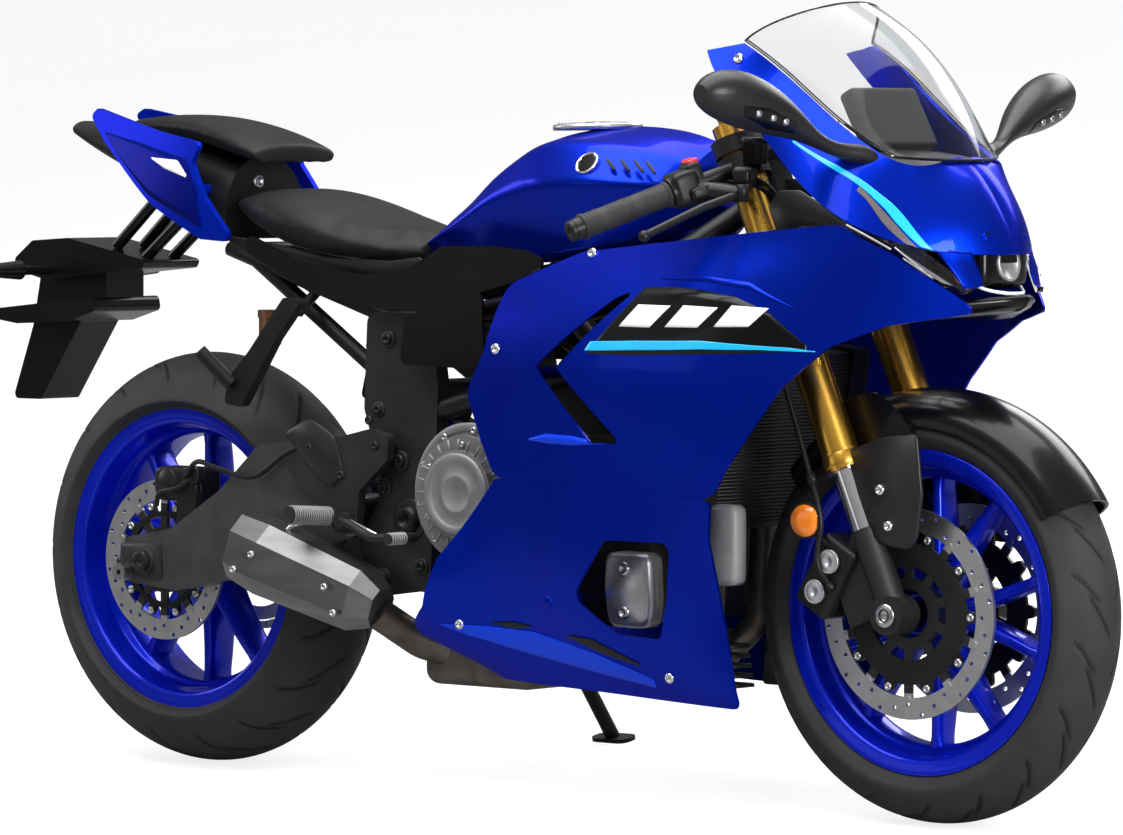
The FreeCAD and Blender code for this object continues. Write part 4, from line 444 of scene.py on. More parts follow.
def wheel(name, body, node, centre, half_width, hub_half, tip_half):
    """A rim section turned about the axle, and ten spokes swept from the hub to the rim in five forks."""
    flange, seat, well, hub = 229, 216, 196, 36
    inner = half_width - 6
    section = smooth_line([(half_width, flange), (inner + 2, flange), (inner, seat), (inner * 0.6, seat - 4),
                           (inner * 0.42, well), (-inner * 0.42, well), (-inner * 0.6, seat - 4),
                           (-inner, seat), (-inner - 2, flange), (-half_width, flange),
                           (-half_width + 1, seat + 2), (-inner, seat - 9), (-inner * 0.6, seat - 16),
                           (-inner * 0.34, well - 7), (inner * 0.34, well - 7), (inner * 0.6, seat - 16),
                           (inner, seat - 9), (half_width - 1, seat + 2)], 120, True)
    barrel = [(-hub_half, 20), (-hub_half, 34), (-hub_half + 3, 38), (-hub_half * 0.5, 40),
              (-hub_half * 0.3, 47), (hub_half * 0.3, 47), (hub_half * 0.5, 40), (hub_half - 3, 38),
              (hub_half, 34), (hub_half, 20)]
    parts = [turned(section, centre, 192), turned(barrel, centre, 96)]
    rows, columns = 22, 20
    steps = np.linspace(0, 1, rows)
    around = np.linspace(0, 2 * math.pi, columns, endpoint=False)
    section_x = np.sign(np.cos(around)) * np.abs(np.cos(around)) ** 0.7
    section_y = np.sign(np.sin(around)) * np.abs(np.sin(around)) ** 0.55
    for number in range(5):
        for sign in (-1, 1):
            radius = hub + (well + 2 - hub) * steps
            angle = 2 * math.pi / 5 * number + sign * (0.16 + 0.13 * steps ** 0.8)
            wide = 12.5 - 4.2 * steps + 9 * np.clip(steps - 0.86, 0, 1) * 4
            deep = hub_half * 0.62 + (tip_half - hub_half * 0.62) * steps ** 0.7
            run = np.stack([np.cos(angle) * radius, 0 * angle, np.sin(angle) * radius], -1)
            ahead = np.stack([-np.sin(angle), 0 * angle, np.cos(angle)], -1)
            spoke = run[:, None] + ahead[:, None] * (wide[:, None] * section_x)[..., None]
            spoke[..., 1] += deep[:, None] * section_y
            parts.append((spoke.reshape(-1, 3) + centre, tube_faces(rows, columns)))
    built(name, parts, blue_cast, body, "blue_cast", (node,))


wheel("front_wheel_casting", "front_wheel", "front_rim", front_axle, 52, 56, 20)
wheel("rear_wheel_casting", "rear_wheel", "rear_rim", rear_axle, 77, 62, 26)

# The fork and brakes
# Gold anodised outer tubes over chromed legs with black cast feet. Radial calipers with bright bridge caps
# clamp drilled steel rings that ride on ten sprung bobbins round a black carrier.


def lathe(profile, centre, axis, count=24):
    """A profile of (along, radius) points turned about an axis through centre, with flat ends."""
    profile = np.asarray(profile, float)
    axis = unit(np.asarray(axis, float))
    side = unit(np.cross(axis, (0, 0, 1) if abs(axis[2]) < 0.9 else (1, 0, 0)))
    other = np.cross(axis, side)
    turn = np.linspace(0, 2 * math.pi, count, endpoint=False)[:, None, None]
    ring = (np.cos(turn) * side + np.sin(turn) * other) * profile[None, :, 1:] + profile[None, :, :1] * axis
    rows = len(profile)
    caps = [list(range(0, count * rows, rows)), list(range(rows - 1, count * rows, rows))]
    return ring.reshape(-1, 3) + centre, grid_faces(count, rows, True, False).tolist() + caps


def swept(line, radii, count=16, flat=1.0, lift=(0, 0, 1)):
    """A round or flattened section of changing radius, moved along a line and closed at both ends."""
    line = np.asarray(line, float)
    radii = np.broadcast_to(np.asarray(radii, float), len(line))
    ahead = unit(np.gradient(line, axis=0))
    side = unit(np.cross(ahead, lift))
    top = np.cross(side, ahead)
    turn = np.linspace(0, 2 * math.pi, count, endpoint=False)[None, :, None]
    around = np.cos(turn) * side[:, None] + flat * np.sin(turn) * top[:, None]
    ring = line[:, None] + radii[:, None, None] * around
    return ring.reshape(-1, 3), tube_faces(len(line), count)


def bolt(spot, axis, radius=7.0, height=4.5):
    """A button head bolt with a round socket, seated on a surface at spot and facing along axis."""
    return lathe([(height * 0.35, radius * 0.42), (height, radius * 0.46), (height, radius * 0.7),
                  (height * 0.62, radius * 0.95), (0.3, radius), (-1.5, radius)], spot, axis, 18)


def mirrored(points):
    """The same upright points on the other side of the bike."""
    return np.asarray(points, float) * (1, -1, 1)


def whole(half):
    """A line from one side to the middle, carried on as its mirror image to the other side."""
    return np.concatenate([half, mirrored(half[::-1][1:])])


def fork_point(reach, ahead, sideways):
    """An upright point by its reach up the fork from the front axle, ahead of the fork's own line."""
    return np.asarray(front_axle) + fork_up * reach + fork_ahead * ahead + np.array([0, sideways, 0])


right = np.array([0, -1, 0])
fixings, carrier_hub = 10, 66
angle = np.linspace(0, 2 * math.pi, 240, endpoint=False)
tabs = np.clip(np.cos(fixings * (angle - math.pi / fixings)) * 3.2 - 1.6, 0, 1)
rows = np.array([(-3.1, 0), (3.1, 0), (3.1, 1), (-3.1, 1)])
for word, centre, offset, reach, sides in (("front", front_axle, 72, 117, (-1, 1)),
                                           ("rear", rear_axle, 112, 91, (-1,))):
    bobbins, carriers = [], []
    edge = np.where(rows[:, 1] > 0.5, (reach - 17 + 14 * tabs)[:, None], float(carrier_hub))
    for side in sides:
        outward = np.array([0, side, 0])
        for number in range(fixings):
            turn = 2 * math.pi * (number + 0.5) / fixings
            spoke = np.array([math.sin(turn), 0, math.cos(turn)])
            bobbins.append(bolt(centre + spoke * (reach - 8) + outward * (offset + 3.2), outward, 6.2, 3.4))
        ring = np.stack([np.sin(angle)[:, None] * edge, rows[:, 0] * np.ones((len(angle), 1)) + side * offset,
                         np.cos(angle)[:, None] * edge], -1)
        carriers.append((ring.reshape(-1, 3) + centre, grid_faces(len(angle), len(rows), True, True)))
    built(word + "_disc_bobbins", bobbins, bare_steel, word + "_wheel", "bare_steel")
    built(word + "_disc_carrier", carriers, black_metal, word + "_wheel", "black_metal", smooth=False)

# The caliper's bright bridge caps and the axle's hollow end
caps, ends = [], []
for side in (-1, 1):
    centre = np.asarray(front_axle) + (-108, side * 90, 50)
    tip = centre + (0, side * 44.2, 0)
    tilt = math.radians(30)
    for sign in (-1, 1):
        spot = tip + np.array([math.sin(tilt), 0, math.cos(tilt)]) * 25 * sign
        caps.append(lathe([(0.5, 4.5), (2.4, 5), (2.4, 11.5), (1.2, 13), (1.2, 15.5), (2.0, 16.4), (0.2, 17.2),
                           (-3, 17.2)], spot, (0, side, 0), 32))
    ends.append(lathe([(-6, 9.5), (0.6, 9.5), (0.6, 12.5), (-0.8, 14), (-0.8, 16.5), (-4, 17)],
                      np.asarray(front_axle) + (0, side * 131.8, 0), (0, side, 0), 32))
built("caliper_caps", caps, silver_paint, "steering", "bare_steel")
built("axle_end", ends, bare_steel, "steering", "bare_steel")

# Round amber reflectors in cups on short stays, and the gold adjusters and dust collars of the fork
parts, shells, stays = [], [], []
for side in (-1, 1):
    spot = np.array([1262.0, side * 138, 428])
    facing = np.array([0.12, side, 0.0])
    parts.append(lathe([(5.2, 0.2), (5.2, 9), (4.4, 22.5), (0, 23)], spot, facing, 40))
    shells.append(lathe([(0.2, 23), (3.6, 24.2), (3.6, 25.6), (-3, 25.6), (-7, 17), (-7, 0.2)], spot, facing,
                        40))
    stay = smooth_line([spot - facing * 6, (1285, side * 128, 400), fork_point(96, -34, side * 113)], 16)
    stays.append(swept(stay, 4))
built("fork_reflectors", parts, amber_lens, "steering", "lamp_lens")
built("reflector_cups", shells + stays, black_plastic, "steering", "black_plastic")
leg_half_gap, top_reach, collar_reach = 105, 759, 218
tops = []
for side in (-1, 1):
    top = fork_point(top_reach, 0, side * leg_half_gap)
    tops.append(lathe([(17, 5.4), (17, 6.6), (9, 7), (8.5, 12.5), (1, 13.5), (0.3, 15.5), (-2, 15.5)], top,
                      fork_up, 24))
    tops.append(lathe([(0.2, 27.2), (0.2, 28.4), (7, 29.4), (10, 29.4), (22, 29.4), (25, 28.4), (25.8, 27.2)],
                      fork_point(collar_reach, 0, side * leg_half_gap), fork_up, 48))
built("fork_adjusters", tops, gold_anodised, "steering", "gold_anodised")

# Brake hoses from the calipers up the fork legs, held by their banjo ends
stops = ((70, -70, 134), (110, -74, 139), (165, -46, 137), (250, -42, 131), (400, -40, 122), (545, -44, 112))
hoses = []
for side in (-1, 1):
    run = smooth_line([fork_point(reach, ahead, side * away) for reach, ahead, away in stops], 60)
    hoses.append(swept(run, 4.2, 12, lift=(0, 1, 0)))
    hoses.append(lathe([(-3, 7), (3, 7), (4, 5), (6, 5)], fork_point(70, -70, side * 134), (0, side, 0), 16))
    hoses.append(lathe([(-9, 6.4), (-9, 7.4), (9, 7.4), (9, 6.4)], fork_point(222, -42, side * 132), fork_up,
                       16))
built("brake_hoses", hoses, black_plastic, "steering", "black_plastic")

# The handlebars' fittings
# Clip-on bars with ribbed rubber grips and end weights, moulded switch housings, a cast master cylinder with
# its fluid cup on the right, and a red engine stop switch.


def run_along(points, count):
    """Points spaced evenly along straight runs."""
    points = np.asarray(points, float)
    reach = np.concatenate([[0], np.cumsum(np.linalg.norm(np.diff(points, axis=0), axis=1))])
    at = np.linspace(0, reach[-1], count)
    return np.stack([np.interp(at, reach, points[:, axis]) for axis in range(3)], -1)


def pebble(centre, half, power=0.35, turn=None, count=28):
    """A block with rounded faces: an ellipsoid whose sines and cosines are raised to a power below one."""
    high = np.linspace(-math.pi / 2 + 0.06, math.pi / 2 - 0.06, count)[:, None]
    turned_by = np.linspace(0, 2 * math.pi, 2 * count, endpoint=False)[None, :]

    def bent(value):
        """A sine or cosine raised to the power, with its sign kept."""
        return np.sign(value) * np.abs(value) ** power

    level = bent(np.cos(high))
    points = np.stack([level * bent(np.cos(turned_by)), level * bent(np.sin(turned_by)),
                       bent(np.sin(high)) * np.ones_like(turned_by)], -1).reshape(-1, 3) * half
    if turn is not None:
        points = points @ np.asarray(turn, float).T
    return points + centre, tube_faces(count, 2 * count)


def yawed(degrees):
    """A turn by degrees about the upright axis."""
    return np.array(Matrix.Rotation(math.radians(degrees), 3, "Z"))


def rounded(outline, radius, steps=4):
    """A side-view outline with its corners rounded by short curves."""
    outline = np.asarray(outline, float)
    before, after = np.roll(outline, 1, 0), np.roll(outline, -1, 0)
    points = []
    for last, corner, following in zip(before, outline, after):
        reach = [min(radius, 0.45 * np.linalg.norm(end - corner)) for end in (last, following)]
        start = corner + unit(last - corner) * reach[0]
        stop = corner + unit(following - corner) * reach[1]
        for t in np.linspace(0, 1, steps):
            points.append((1 - t) ** 2 * start + 2 * t * (1 - t) * corner + t * t * stop)
    return np.array(points)


def plate(outline, corner, side, inner, outer, bevel=1.5):
    """A plate cut to a side-view outline with rounded corners, between two distances from the middle.

    It lies on the side asked for, and its outer edge is bevelled."""
    outline = rounded(outline, corner)
    ahead = unit(np.roll(outline, -1, 0) - outline)
    middle = unit(ahead + np.roll(ahead, 1, 0))
    x, z = outline.T
    turn = np.sign(np.sum(x * np.roll(z, -1) - np.roll(x, -1) * z))
    inward = np.stack([-middle[:, 1], middle[:, 0]], -1) * turn
    rings = []
    for shape, away in ((outline, inner), (outline, outer - bevel), (outline + inward * bevel, outer)):
        rings.append(np.stack([shape[:, 0], np.full(len(shape), float(side * away)), shape[:, 1]], -1))
    return np.concatenate(rings), tube_faces(3, len(outline))


def sided(points, side):
    """Points of the right side, moved to the side asked for."""
    return np.asarray(points, float) * (1, -side, 1)


bar_root, bar_end = np.array([1124.0, -136, 920]), np.array([1012.0, -350, 835])
bar_line = unit(bar_end - bar_root)
bar_length = np.linalg.norm(bar_end - bar_root)
bar_across = np.cross(bar_line, (0, 0, 1))
bar_turn = np.column_stack([bar_across, bar_line, np.cross(bar_across, bar_line)])
bar_turn /= np.linalg.norm(bar_turn, axis=0)
flip = np.diag([1.0, -1.0, 1.0])
grips, ends, boxes, cups = [], [], [], []
for side in (-1, 1):
    along = np.linspace(bar_length * 0.41, bar_length * 0.95, 90)
    ribs = 17.1 + 0.7 * np.sign(np.sin(along * 1.05)) * (np.abs(np.sin(along * 0.06)) > 0.35)
    ribs[:3], ribs[-3:] = 19.4, 19.0
    grips.append(swept(sided(bar_root + along[:, None] * bar_line, side), ribs, 28))
    ends.append(lathe([(-8, 15), (6, 15.4), (8, 14), (8, 4), (6.5, 3.6), (6.5, 0.5)], sided(bar_end, side),
                      sided(bar_line, side), 28))
    turn = flip @ bar_turn if side > 0 else bar_turn
    for share, half, rise in ((0.31, (24, 21, 26), 0), (0.24, (19, 12, 30), 3), (0.36, (21, 9, 22), -2)):
        spot = sided(bar_root + bar_line * bar_length * share + (0, 0, rise), side)
        boxes.append(pebble(spot, half, 0.4, turn, 20))
    spot = sided(bar_root + bar_line * bar_length * 0.3 + (26, 0, -6), side)
    boxes.append(pebble(spot, (12, 15, 9), 0.45, turn, 16))
    boxes.append(lathe([(-12, 9), (12, 9), (13, 7.5), (13, 0.5)], sided((1172, -172, 887), side), (0, 0, 1),
                       20))
    lever = run_along([(1100, -163, 897), (1140, -166, 892), (1172, -172, 887)], 10)
    boxes.append(swept(sided(lever, side), 9, 14))
spot = bar_root + bar_line * bar_length * 0.26 + (-2, 0, 31)
reds = [pebble(spot, (14, 9, 7), 0.4, bar_turn, 16)]
cups.append(lathe([(-2, 17), (26, 18), (27, 20.5), (35, 20.5), (36.5, 18.5), (36.5, 0.5)], (1160, -128, 930),
                  (0, 0, 1), 32))
cups.append(pebble((1150, -138, 912), (34, 15, 14), 0.45, yawed(-62), 20))
cups.append(pebble((1150, 138, 912), (26, 13, 12), 0.45, yawed(62), 20))
built("grips", grips, grip_rubber, "steering", "rubber")
built("bar_weights", ends, black_metal, "steering", "black_metal")
built("switch_housings", boxes, black_plastic, "steering", "black_plastic")
built("stop_switch", reds, red_plastic, "steering")
built("master_cylinders", cups, black_metal, "steering", "black_metal")
cables = []
for side in (-1, 1):
    for drop, spread in ((0, 0), (10, 8)):
        run = smooth_line([(1118, 150, 915 - drop), (1160, 118, 905 - drop), (1176, 96, 880 - drop),
                           (1170, 72 + spread, 858 - drop), (1160, 58 + spread, 850 - drop)], 40)
        cables.append(swept(run * (1, side, 1), 3.4, 10))
built("bar_cables", cables, black_plastic, "steering", "black_plastic")

# Moulded guards on the front of the fork legs, each held by two button bolts
guards, bolts = [], []
for side in (-1, 1):
    guards.append(plate([(1320, 528), (1382, 549), (1440, 555), (1449, 473), (1440, 407), (1427, 392),
                         (1392, 396), (1350, 412), (1336, 469)], 8, side, 112, 118, 2))
    for x, z in ((1378, 475), (1393, 425)):
        bolts.append(bolt((x, side * 118.5, z), (0, side, 0), 8, 5))
built("fork_guards", guards, dark_plastic, "steering", "black_plastic")
built("guard_bolts", bolts, chrome, "steering", "bare_steel")

# The films and creases of the painted panels
# The panels carry a black film with white slashes above a cyan stripe, cut from vinyl and laid under the
# lacquer. A taupe band on the nose and shallow creases of the mouldings are laid on in the same way, and so are
# painted shade and painted highlight: a darker blue over the tail's lower side, black films where the belly's
# slots open, and a lighter blue on the belly's lower panel and the ledge under the slot.


def baked(made):
    """The piece with its modifiers worked into its mesh."""
    shown = made.evaluated_get(bpy.context.evaluated_depsgraph_get())
    mesh = bpy.data.meshes.new_from_object(shown)
    made.modifiers.clear()
    made.data = mesh
    return made


def thickened(made, millimetres):
    """The sheet given a thickness, half of it to each side."""
    thick = made.modifiers.new("thick", "SOLIDIFY")
    thick.thickness = millimetres / 1000
    thick.offset = 0
    return baked(made)


def coordinates(mesh, what="co"):
    """The places or the normals of a mesh's points."""
    values = np.empty(len(mesh.vertices) * 3)
    mesh.vertices.foreach_get(what, values)
    return values.reshape(-1, 3)


def film(name, node, upper, lower, material, slot="", lift=0.5, count=70, rows=9, ease=False, axis=1,
         rise=0):
    """A thin film between two lines, laid from outside on a CAD node's skin on both sides of the bike.

    It is dropped onto the skin along a world axis, and left out where the skin has an opening."""
    reach, opening = 90, 0.06
    for side, word in ((-1, "right"), (1, "left")):
        lines = [smooth_line(line, count) if ease else run_along(line, count) for line in (upper, lower)]
        share = np.linspace(0, 1, rows)[:, None, None]
        grid = lines[0] * (1 - share) + lines[1] * share
        outward = lean[axis] * (side if axis == 1 else 1)
        start = grid.reshape(-1, 3) * (1, -side, 1)
        faces = grid_faces(rows, count)
        made = piece(name + "_" + word, start + outward * reach, faces, material, "chassis", slot)
        laid = made.modifiers.new("laid", "SHRINKWRAP")
        laid.target = frame["nodes"][node]
        laid.wrap_method = "PROJECT"
        laid.use_project_y, laid.use_project_x = axis == 1, axis == 0
        laid.use_negative_direction = axis == 0 or side == 1
        laid.use_positive_direction = not laid.use_negative_direction
        laid.wrap_mode = "ABOVE_SURFACE"
        laid.offset = lift / 1000
        baked(made)
        spots = coordinates(made.data)
        met = np.abs(spots[:, axis] - place(start)[:, axis]) < opening
        over, along = (np.sin(np.pi * np.linspace(0, 1, total)) for total in (rows, count))
        spots += (over[:, None] * along ** 0.5).reshape(-1, 1) * (0, side * rise / 1000, 0)
        made.data.clear_geometry()
        made.data.from_pydata(spots.tolist(), [], faces[met[faces].all(axis=1)].tolist())
        made.data.shade_smooth()
        thickened(made, 0.3)


film("side_black", "side_fairings",
     [(1048, -260, 749), (1100, -261, 750), (1151, -259, 748), (1210, -252, 740), (1262, -240, 722),
      (1318, -219, 676)],
     [(966, -259, 660), (1045, -261, 659), (1100, -261, 660), (1161, -258, 661), (1240, -246, 663),
      (1318, -219, 668)], black_gloss, "black_gloss", 0.5)
film("side_stripe", "side_fairings",
     [(972, -259, 677), (1050, -261, 679), (1160, -257, 680), (1295, -229, 672), (1330, -214, 668)],
     [(962, -259, 664), (1050, -261, 666), (1161, -257, 668), (1250, -244, 668), (1330, -214, 667)],
     cyan_film, lift=1.0)
for number, (low, high) in enumerate(((1020, 1086), (1100, 1166), (1180, 1246))):
    film("side_slash_%d" % (number + 1), "side_fairings",
         [(low + 26, -260, 727), (high + 18, -256, 727 - 2 * number)],
         [(low, -260, 698), (high - 12, -256, 698)], white_film, lift=1.0, count=16, rows=7)
film("nose_stripe", "nose_cowl",
     [(1267, -178, 963), (1356, -163, 918), (1400, -150, 886), (1428, -134, 860), (1466, -108, 812)],
     [(1266, -179, 960), (1357, -167, 909), (1398, -157, 876), (1424, -144, 848), (1453, -128, 816)],
     cyan_film, lift=0.8, ease=True)
film("nose_shade", "nose_cowl",
     [(1372, -162, 900), (1398, -157, 874), (1424, -146, 846), (1451, -130, 815)],
     [(1370, -164, 893), (1386, -163, 878), (1412, -155, 846), (1438, -144, 820)],
     taupe_film, lift=0.5, ease=True)
# Painted shade: a darker blue film over the lower side of the tail cowl.
film("tail_painted_shade", "tail_cowls", [(-168, -76, 966), (-60, -100, 950), (60, -126, 926), (84, -130, 885)],
     [(-132, -84, 938), (-30, -116, 872), (60, -132, 838), (96, -132, 824)], painted_shade_blue, "blue_paint", 0.6)
film("tail_slash", "tail_cowls", [(-31, -110, 929), (35, -122, 925), (60, -129, 903)],
     [(-31, -111, 927), (6, -120, 912), (58, -129, 899)], white_film, lift=1.1, count=24, rows=7)
film("mirror_windows", "mirrors", [(1335, -380, 1010), (1347, -335, 1007), (1352, -280, 988)],
     [(1331, -372, 995), (1336, -325, 979), (1343, -274, 973)], black_gloss, "black_gloss", 0.5, 30, 7, axis=0)
parts = []
for x, y, z in ((1343.7, 352, 1000), (1347.7, 325, 994), (1350, 300, 989)):
    for side in (-1, 1):
        parts.append(lathe([(-4, 5.4), (1.2, 5.4), (2.4, 3.6), (2.8, 0.4)], (x, side * y, z),
                           (1, side * 0.1, 0.1), 24))
built("mirror_lights", parts, disc_steel, "chassis", "lamp_lens")
# Painted highlight: a lighter blue film over the belly's lower panel, which faces down and catches more light.
film("belly_lower", "belly_pans", [(650, -225, 256), (702, -222, 254), (818, -215, 250), (928, -205, 226),
                                   (1030, -190, 194)],
     [(690, -222, 238), (760, -215, 220), (850, -205, 205), (950, -195, 190), (1030, -188, 180)],
     painted_highlight_blue, "blue_paint", 0.8, 60, 9)
# Painted shade: black films where the belly's slots open, for the shade inside them.
film("belly_slot_front", "belly_pans", [(885, -216, 250), (930, -212, 248), (1012, -200, 216)],
     [(885, -216, 248), (945, -210, 226), (1012, -200, 212)], black_gloss, "black_gloss", 1.2, 40, 7)
film("belly_slot_rear", "belly_pans", [(741, -222, 259), (779, -221, 263), (815, -219, 258)],
     [(741, -222, 258), (777, -221, 252), (815, -219, 256)], black_gloss, "black_gloss", 1.2, 30, 5)

film("shoulder_crease", "side_fairings",
     [(1070, -260, 761), (1150, -258, 768), (1230, -250, 760), (1300, -228, 728)],
     [(1070, -260, 760), (1150, -258, 759), (1230, -250, 751), (1300, -228, 727)],
     blue_paint, "blue_paint", 0.4, 60, 9, rise=2.5)
# A raised ledge under the slot, with a painted highlight: it takes the lighter blue.
film("slot_ledge", "side_fairings", [(845, -256, 532), (880, -258, 541), (930, -258, 540), (990, -257, 532)],
     [(845, -256, 530), (880, -258, 526), (930, -258, 525), (990, -257, 530)], painted_highlight_blue, "blue_paint", 0.4,
     60, 9, rise=3.5)

# The nose, lamps and screen
# A glossy black chin and lamp mouth under the painted nose, a projector lamp behind a clear cover with a
# white light guide, slim running lamps, and black moulded inner panels beside the steering head.

# Chin: a black lip round the bottom of the nose, drawn in to the fairing's inner faces
edge = smooth_line([(1385, -176, 742), (1431, -142, 731), (1486, -84, 738), (1530, -34, 744), (1546, 0, 746)],
                   40)
edge = whole(edge)
rows = []
for inward, drop in ((0, 0), (1.5, -5), (-4, -13), (-16, -20), (-60, -26), (-60, -12), (-18, -4), (-4, 3)):
    sideways = np.sign(edge[:, 1]) * inward * 0.5
    rows.append(edge + np.stack([0 * sideways + inward, sideways, 0 * sideways + drop], -1))
grid = np.stack(rows, 1)
piece("nose_chin", grid.reshape(-1, 3), tube_faces(*grid.shape[:2]), black_gloss, "chassis", "black_gloss")

# Lamp: the glossy mouth, the projector with four small cells above it, and the white guide below
piece("lamp_housing", *pebble((1452, 0, 800), (58, 56, 44), 0.3), black_gloss, "chassis", "black_gloss",
      ("headlight",))
parts = [lathe([(-6, 26), (4, 26), (6, 23.5), (2, 21), (2, 0.5)], (1508, 0, 792), (1, 0, 0.12), 40)]
for side in (-1, 1):
    parts.append(pebble((1500, side * 34, 812), (9, 9, 5), 0.4))
    parts.append(pebble((1503, side * 16, 818), (9, 7, 5), 0.4))
built("lamp_projector", parts, silver_paint, "chassis", "lamp_lens")
guide = smooth_line([(1478, -58, 772), (1500, -44, 757), (1520, -22, 751), (1526, 0, 750)], 24)
piece("lamp_light_guide", *swept(whole(guide), 2.6, 12), white_glow, "chassis", "lamp_lens")

# Running lamps: a bright strip behind the clear cover and two short bars beside it
for side, word in ((-1, "right"), (1, "left")):
    parts = []
    strip = smooth_line([(1369, -184, 846), (1400, -172, 829), (1428, -158, 812)], 20)
    parts.append(swept(strip * (1, -side, 1) - (2, -side * 2, 0), 1.6, 10))
    for start, end in (((1432, -155, 815), (1468, -130, 780)), ((1441, -148, 800), (1476, -124, 772))):
        parts.append(swept(np.linspace(start, end, 6) * (1, -side, 1) - (2, -side * 2, 0), 1.2, 10))
    built("running_guides_" + word, parts, silver_paint, "chassis", "lamp_lens")

# Inner panels beside the steering head, and the bolts that hold the painted panels
for side, word in ((-1, "right"), (1, "left")):
    points, faces = plate([(1204, 868), (1222, 892), (1256, 893), (1325, 862), (1368, 838), (1330, 815),
                           (1258, 836), (1222, 826)], 6, side, 150, 156, 2)
    share = np.clip((points[:, 0] - 1204) / 164, 0, 1)
    points[:, 1] -= side * 12 * share - side * 26 * share ** 2
    piece("inner_panel_" + word, points, faces, dark_plastic, "chassis", "black_plastic")
parts = []
for side in (-1, 1):
    for x, y, z, aim in ((911, 187, 799, (0, 1, 0.25)), (779, 245, 660, (0, 1, 0)),
                         (686, 215, 257, (0, 1, -0.1)), (1062, 193, 198, (0, 1, -0.2)),
                         (1155, 160, 1077, (0, 1, 0.4))):
        parts.append(bolt((x, side * (y + 1.0), z), np.array(aim) * (1, side, 1), 8, 3.6))
built("panel_bolts", parts, chrome, "chassis", "bare_steel")

# The blue cheek between each running lamp and the main lamp, part of the painted nose
for side, word in ((-1, "right"), (1, "left")):
    lines = np.array([[(1465, -112, 812), (1482, -92, 811), (1497, -69, 808)],
                      [(1484, -102, 786), (1495, -84, 784), (1504, -60, 782)],
                      [(1500, -90, 757), (1507, -76, 758), (1512, -60, 762)]]) * (1, -side, 1)
    rows = [smooth_line([tuple(spot) for spot in lines[:, spot]], 12) for spot in range(3)]
    grid = np.concatenate([smooth_line([tuple(row[step]) for row in rows], 10) for step in range(12)])
    thickened(piece("nose_cheek_" + word, grid, grid_faces(12, 10), blue_paint, "chassis", "blue_paint"), 2.5)

# Thin black edging round the clear screen, laid along its sharp edges
screen = frame["nodes"]["windscreen"].data
sides = np.empty(len(screen.loops), int)
screen.loops.foreach_get("edge_index", sides)
ends = np.empty(len(screen.edges) * 2, int)
screen.edges.foreach_get("vertices", ends)
rims = coordinates(screen)[ends.reshape(-1, 2)[np.bincount(sides, minlength=len(screen.edges)) == 1]]
rims = rims[np.unique(np.round(rims.mean(axis=1), 5), axis=0, return_index=True)[1]]
first, last = rims[:, 0], rims[:, 1]
ahead = (last - first) / np.maximum(np.linalg.norm(last - first, axis=1), 1e-9)[:, None]
across = unit(np.cross(ahead, (0.3, 0.9, 0.2)))
third = np.cross(ahead, across)
angles = np.radians((0, 90, 180, 270))[:, None, None]
edging_radius = 0.0014
ring = (np.cos(angles) * across + np.sin(angles) * third) * edging_radius
points = np.concatenate([first + ring, last + ring]).transpose(1, 0, 2).reshape(-1, 3)
prism = np.array([(0, 1, 5, 4), (1, 2, 6, 5), (2, 3, 7, 6), (3, 0, 4, 7), (3, 2, 1, 0), (4, 5, 6, 7)])
faces = (prism[None] + 8 * np.arange(len(rims))[:, None, None]).reshape(-1, 4)
points = (points - rear_spot) @ lean * 1000 + rear_axle
piece("screen_edging", points, faces, black_plastic, "chassis", "black_plastic")

# Painted plugs over the clips of nose and belly
parts = []
for side in (-1, 1):
    parts.append(lathe([(-2, 6.5), (0.6, 6.5), (1.4, 5), (1.7, 0.3)], (1505.6, side * 44.5, 830),
                       (0.86, side * 0.3, 0.4), 28))
    parts.append(lathe([(-2, 9), (0.6, 9), (1.5, 7), (1.8, 0.3)], (860, side * 224.7, 298), (0, side, -0.12),
                       28))
built("panel_plugs", parts, blue_paint, "chassis", "blue_paint")

# The black deck below the clocks closes the nose from its upper edge back to them
front = smooth_line([(1384, -124, 934), (1404, -112, 926), (1419, -95, 922), (1431, -60, 924),
                     (1440, 0, 928)], 20)
rear = smooth_line([(1330, -120, 934), (1330, -90, 942), (1331, -60, 946), (1331, 0, 947)], 20)
front, rear = whole(front), whole(rear)
share = np.linspace(0, 1, 10)[:, None, None]
grid = front * (1 - share) + rear * share
grid[..., 2] += 5 * np.sin(np.pi * share[..., 0])
deck = piece("cockpit_deck", grid.reshape(-1, 3), grid_faces(10, len(front)), black_plastic, "chassis",
             "black_plastic")
thickened(deck, 2)

# The tank
# Pressed steel, drawn in two halves: a flat crowned top, a raised band on each side with a bare badge plate
# and four cooling slots, and a tucked knee below a hard crease. The filler cap lies flush in its ring.


def creased(corners, count, soften):
    """Straight runs between corners, sampled evenly, with each corner rounded by a running mean."""
    line = run_along(corners, count)
    padded = np.concatenate([np.repeat(line[:1], soften, 0), line, np.repeat(line[-1:], soften, 0)])
    window = np.ones(2 * soften + 1) / (2 * soften + 1)
    eased = np.stack([np.convolve(padded[:, axis], window, "valid") for axis in range(3)], -1)
    eased[0], eased[-1] = line[0], line[-1]
    return eased


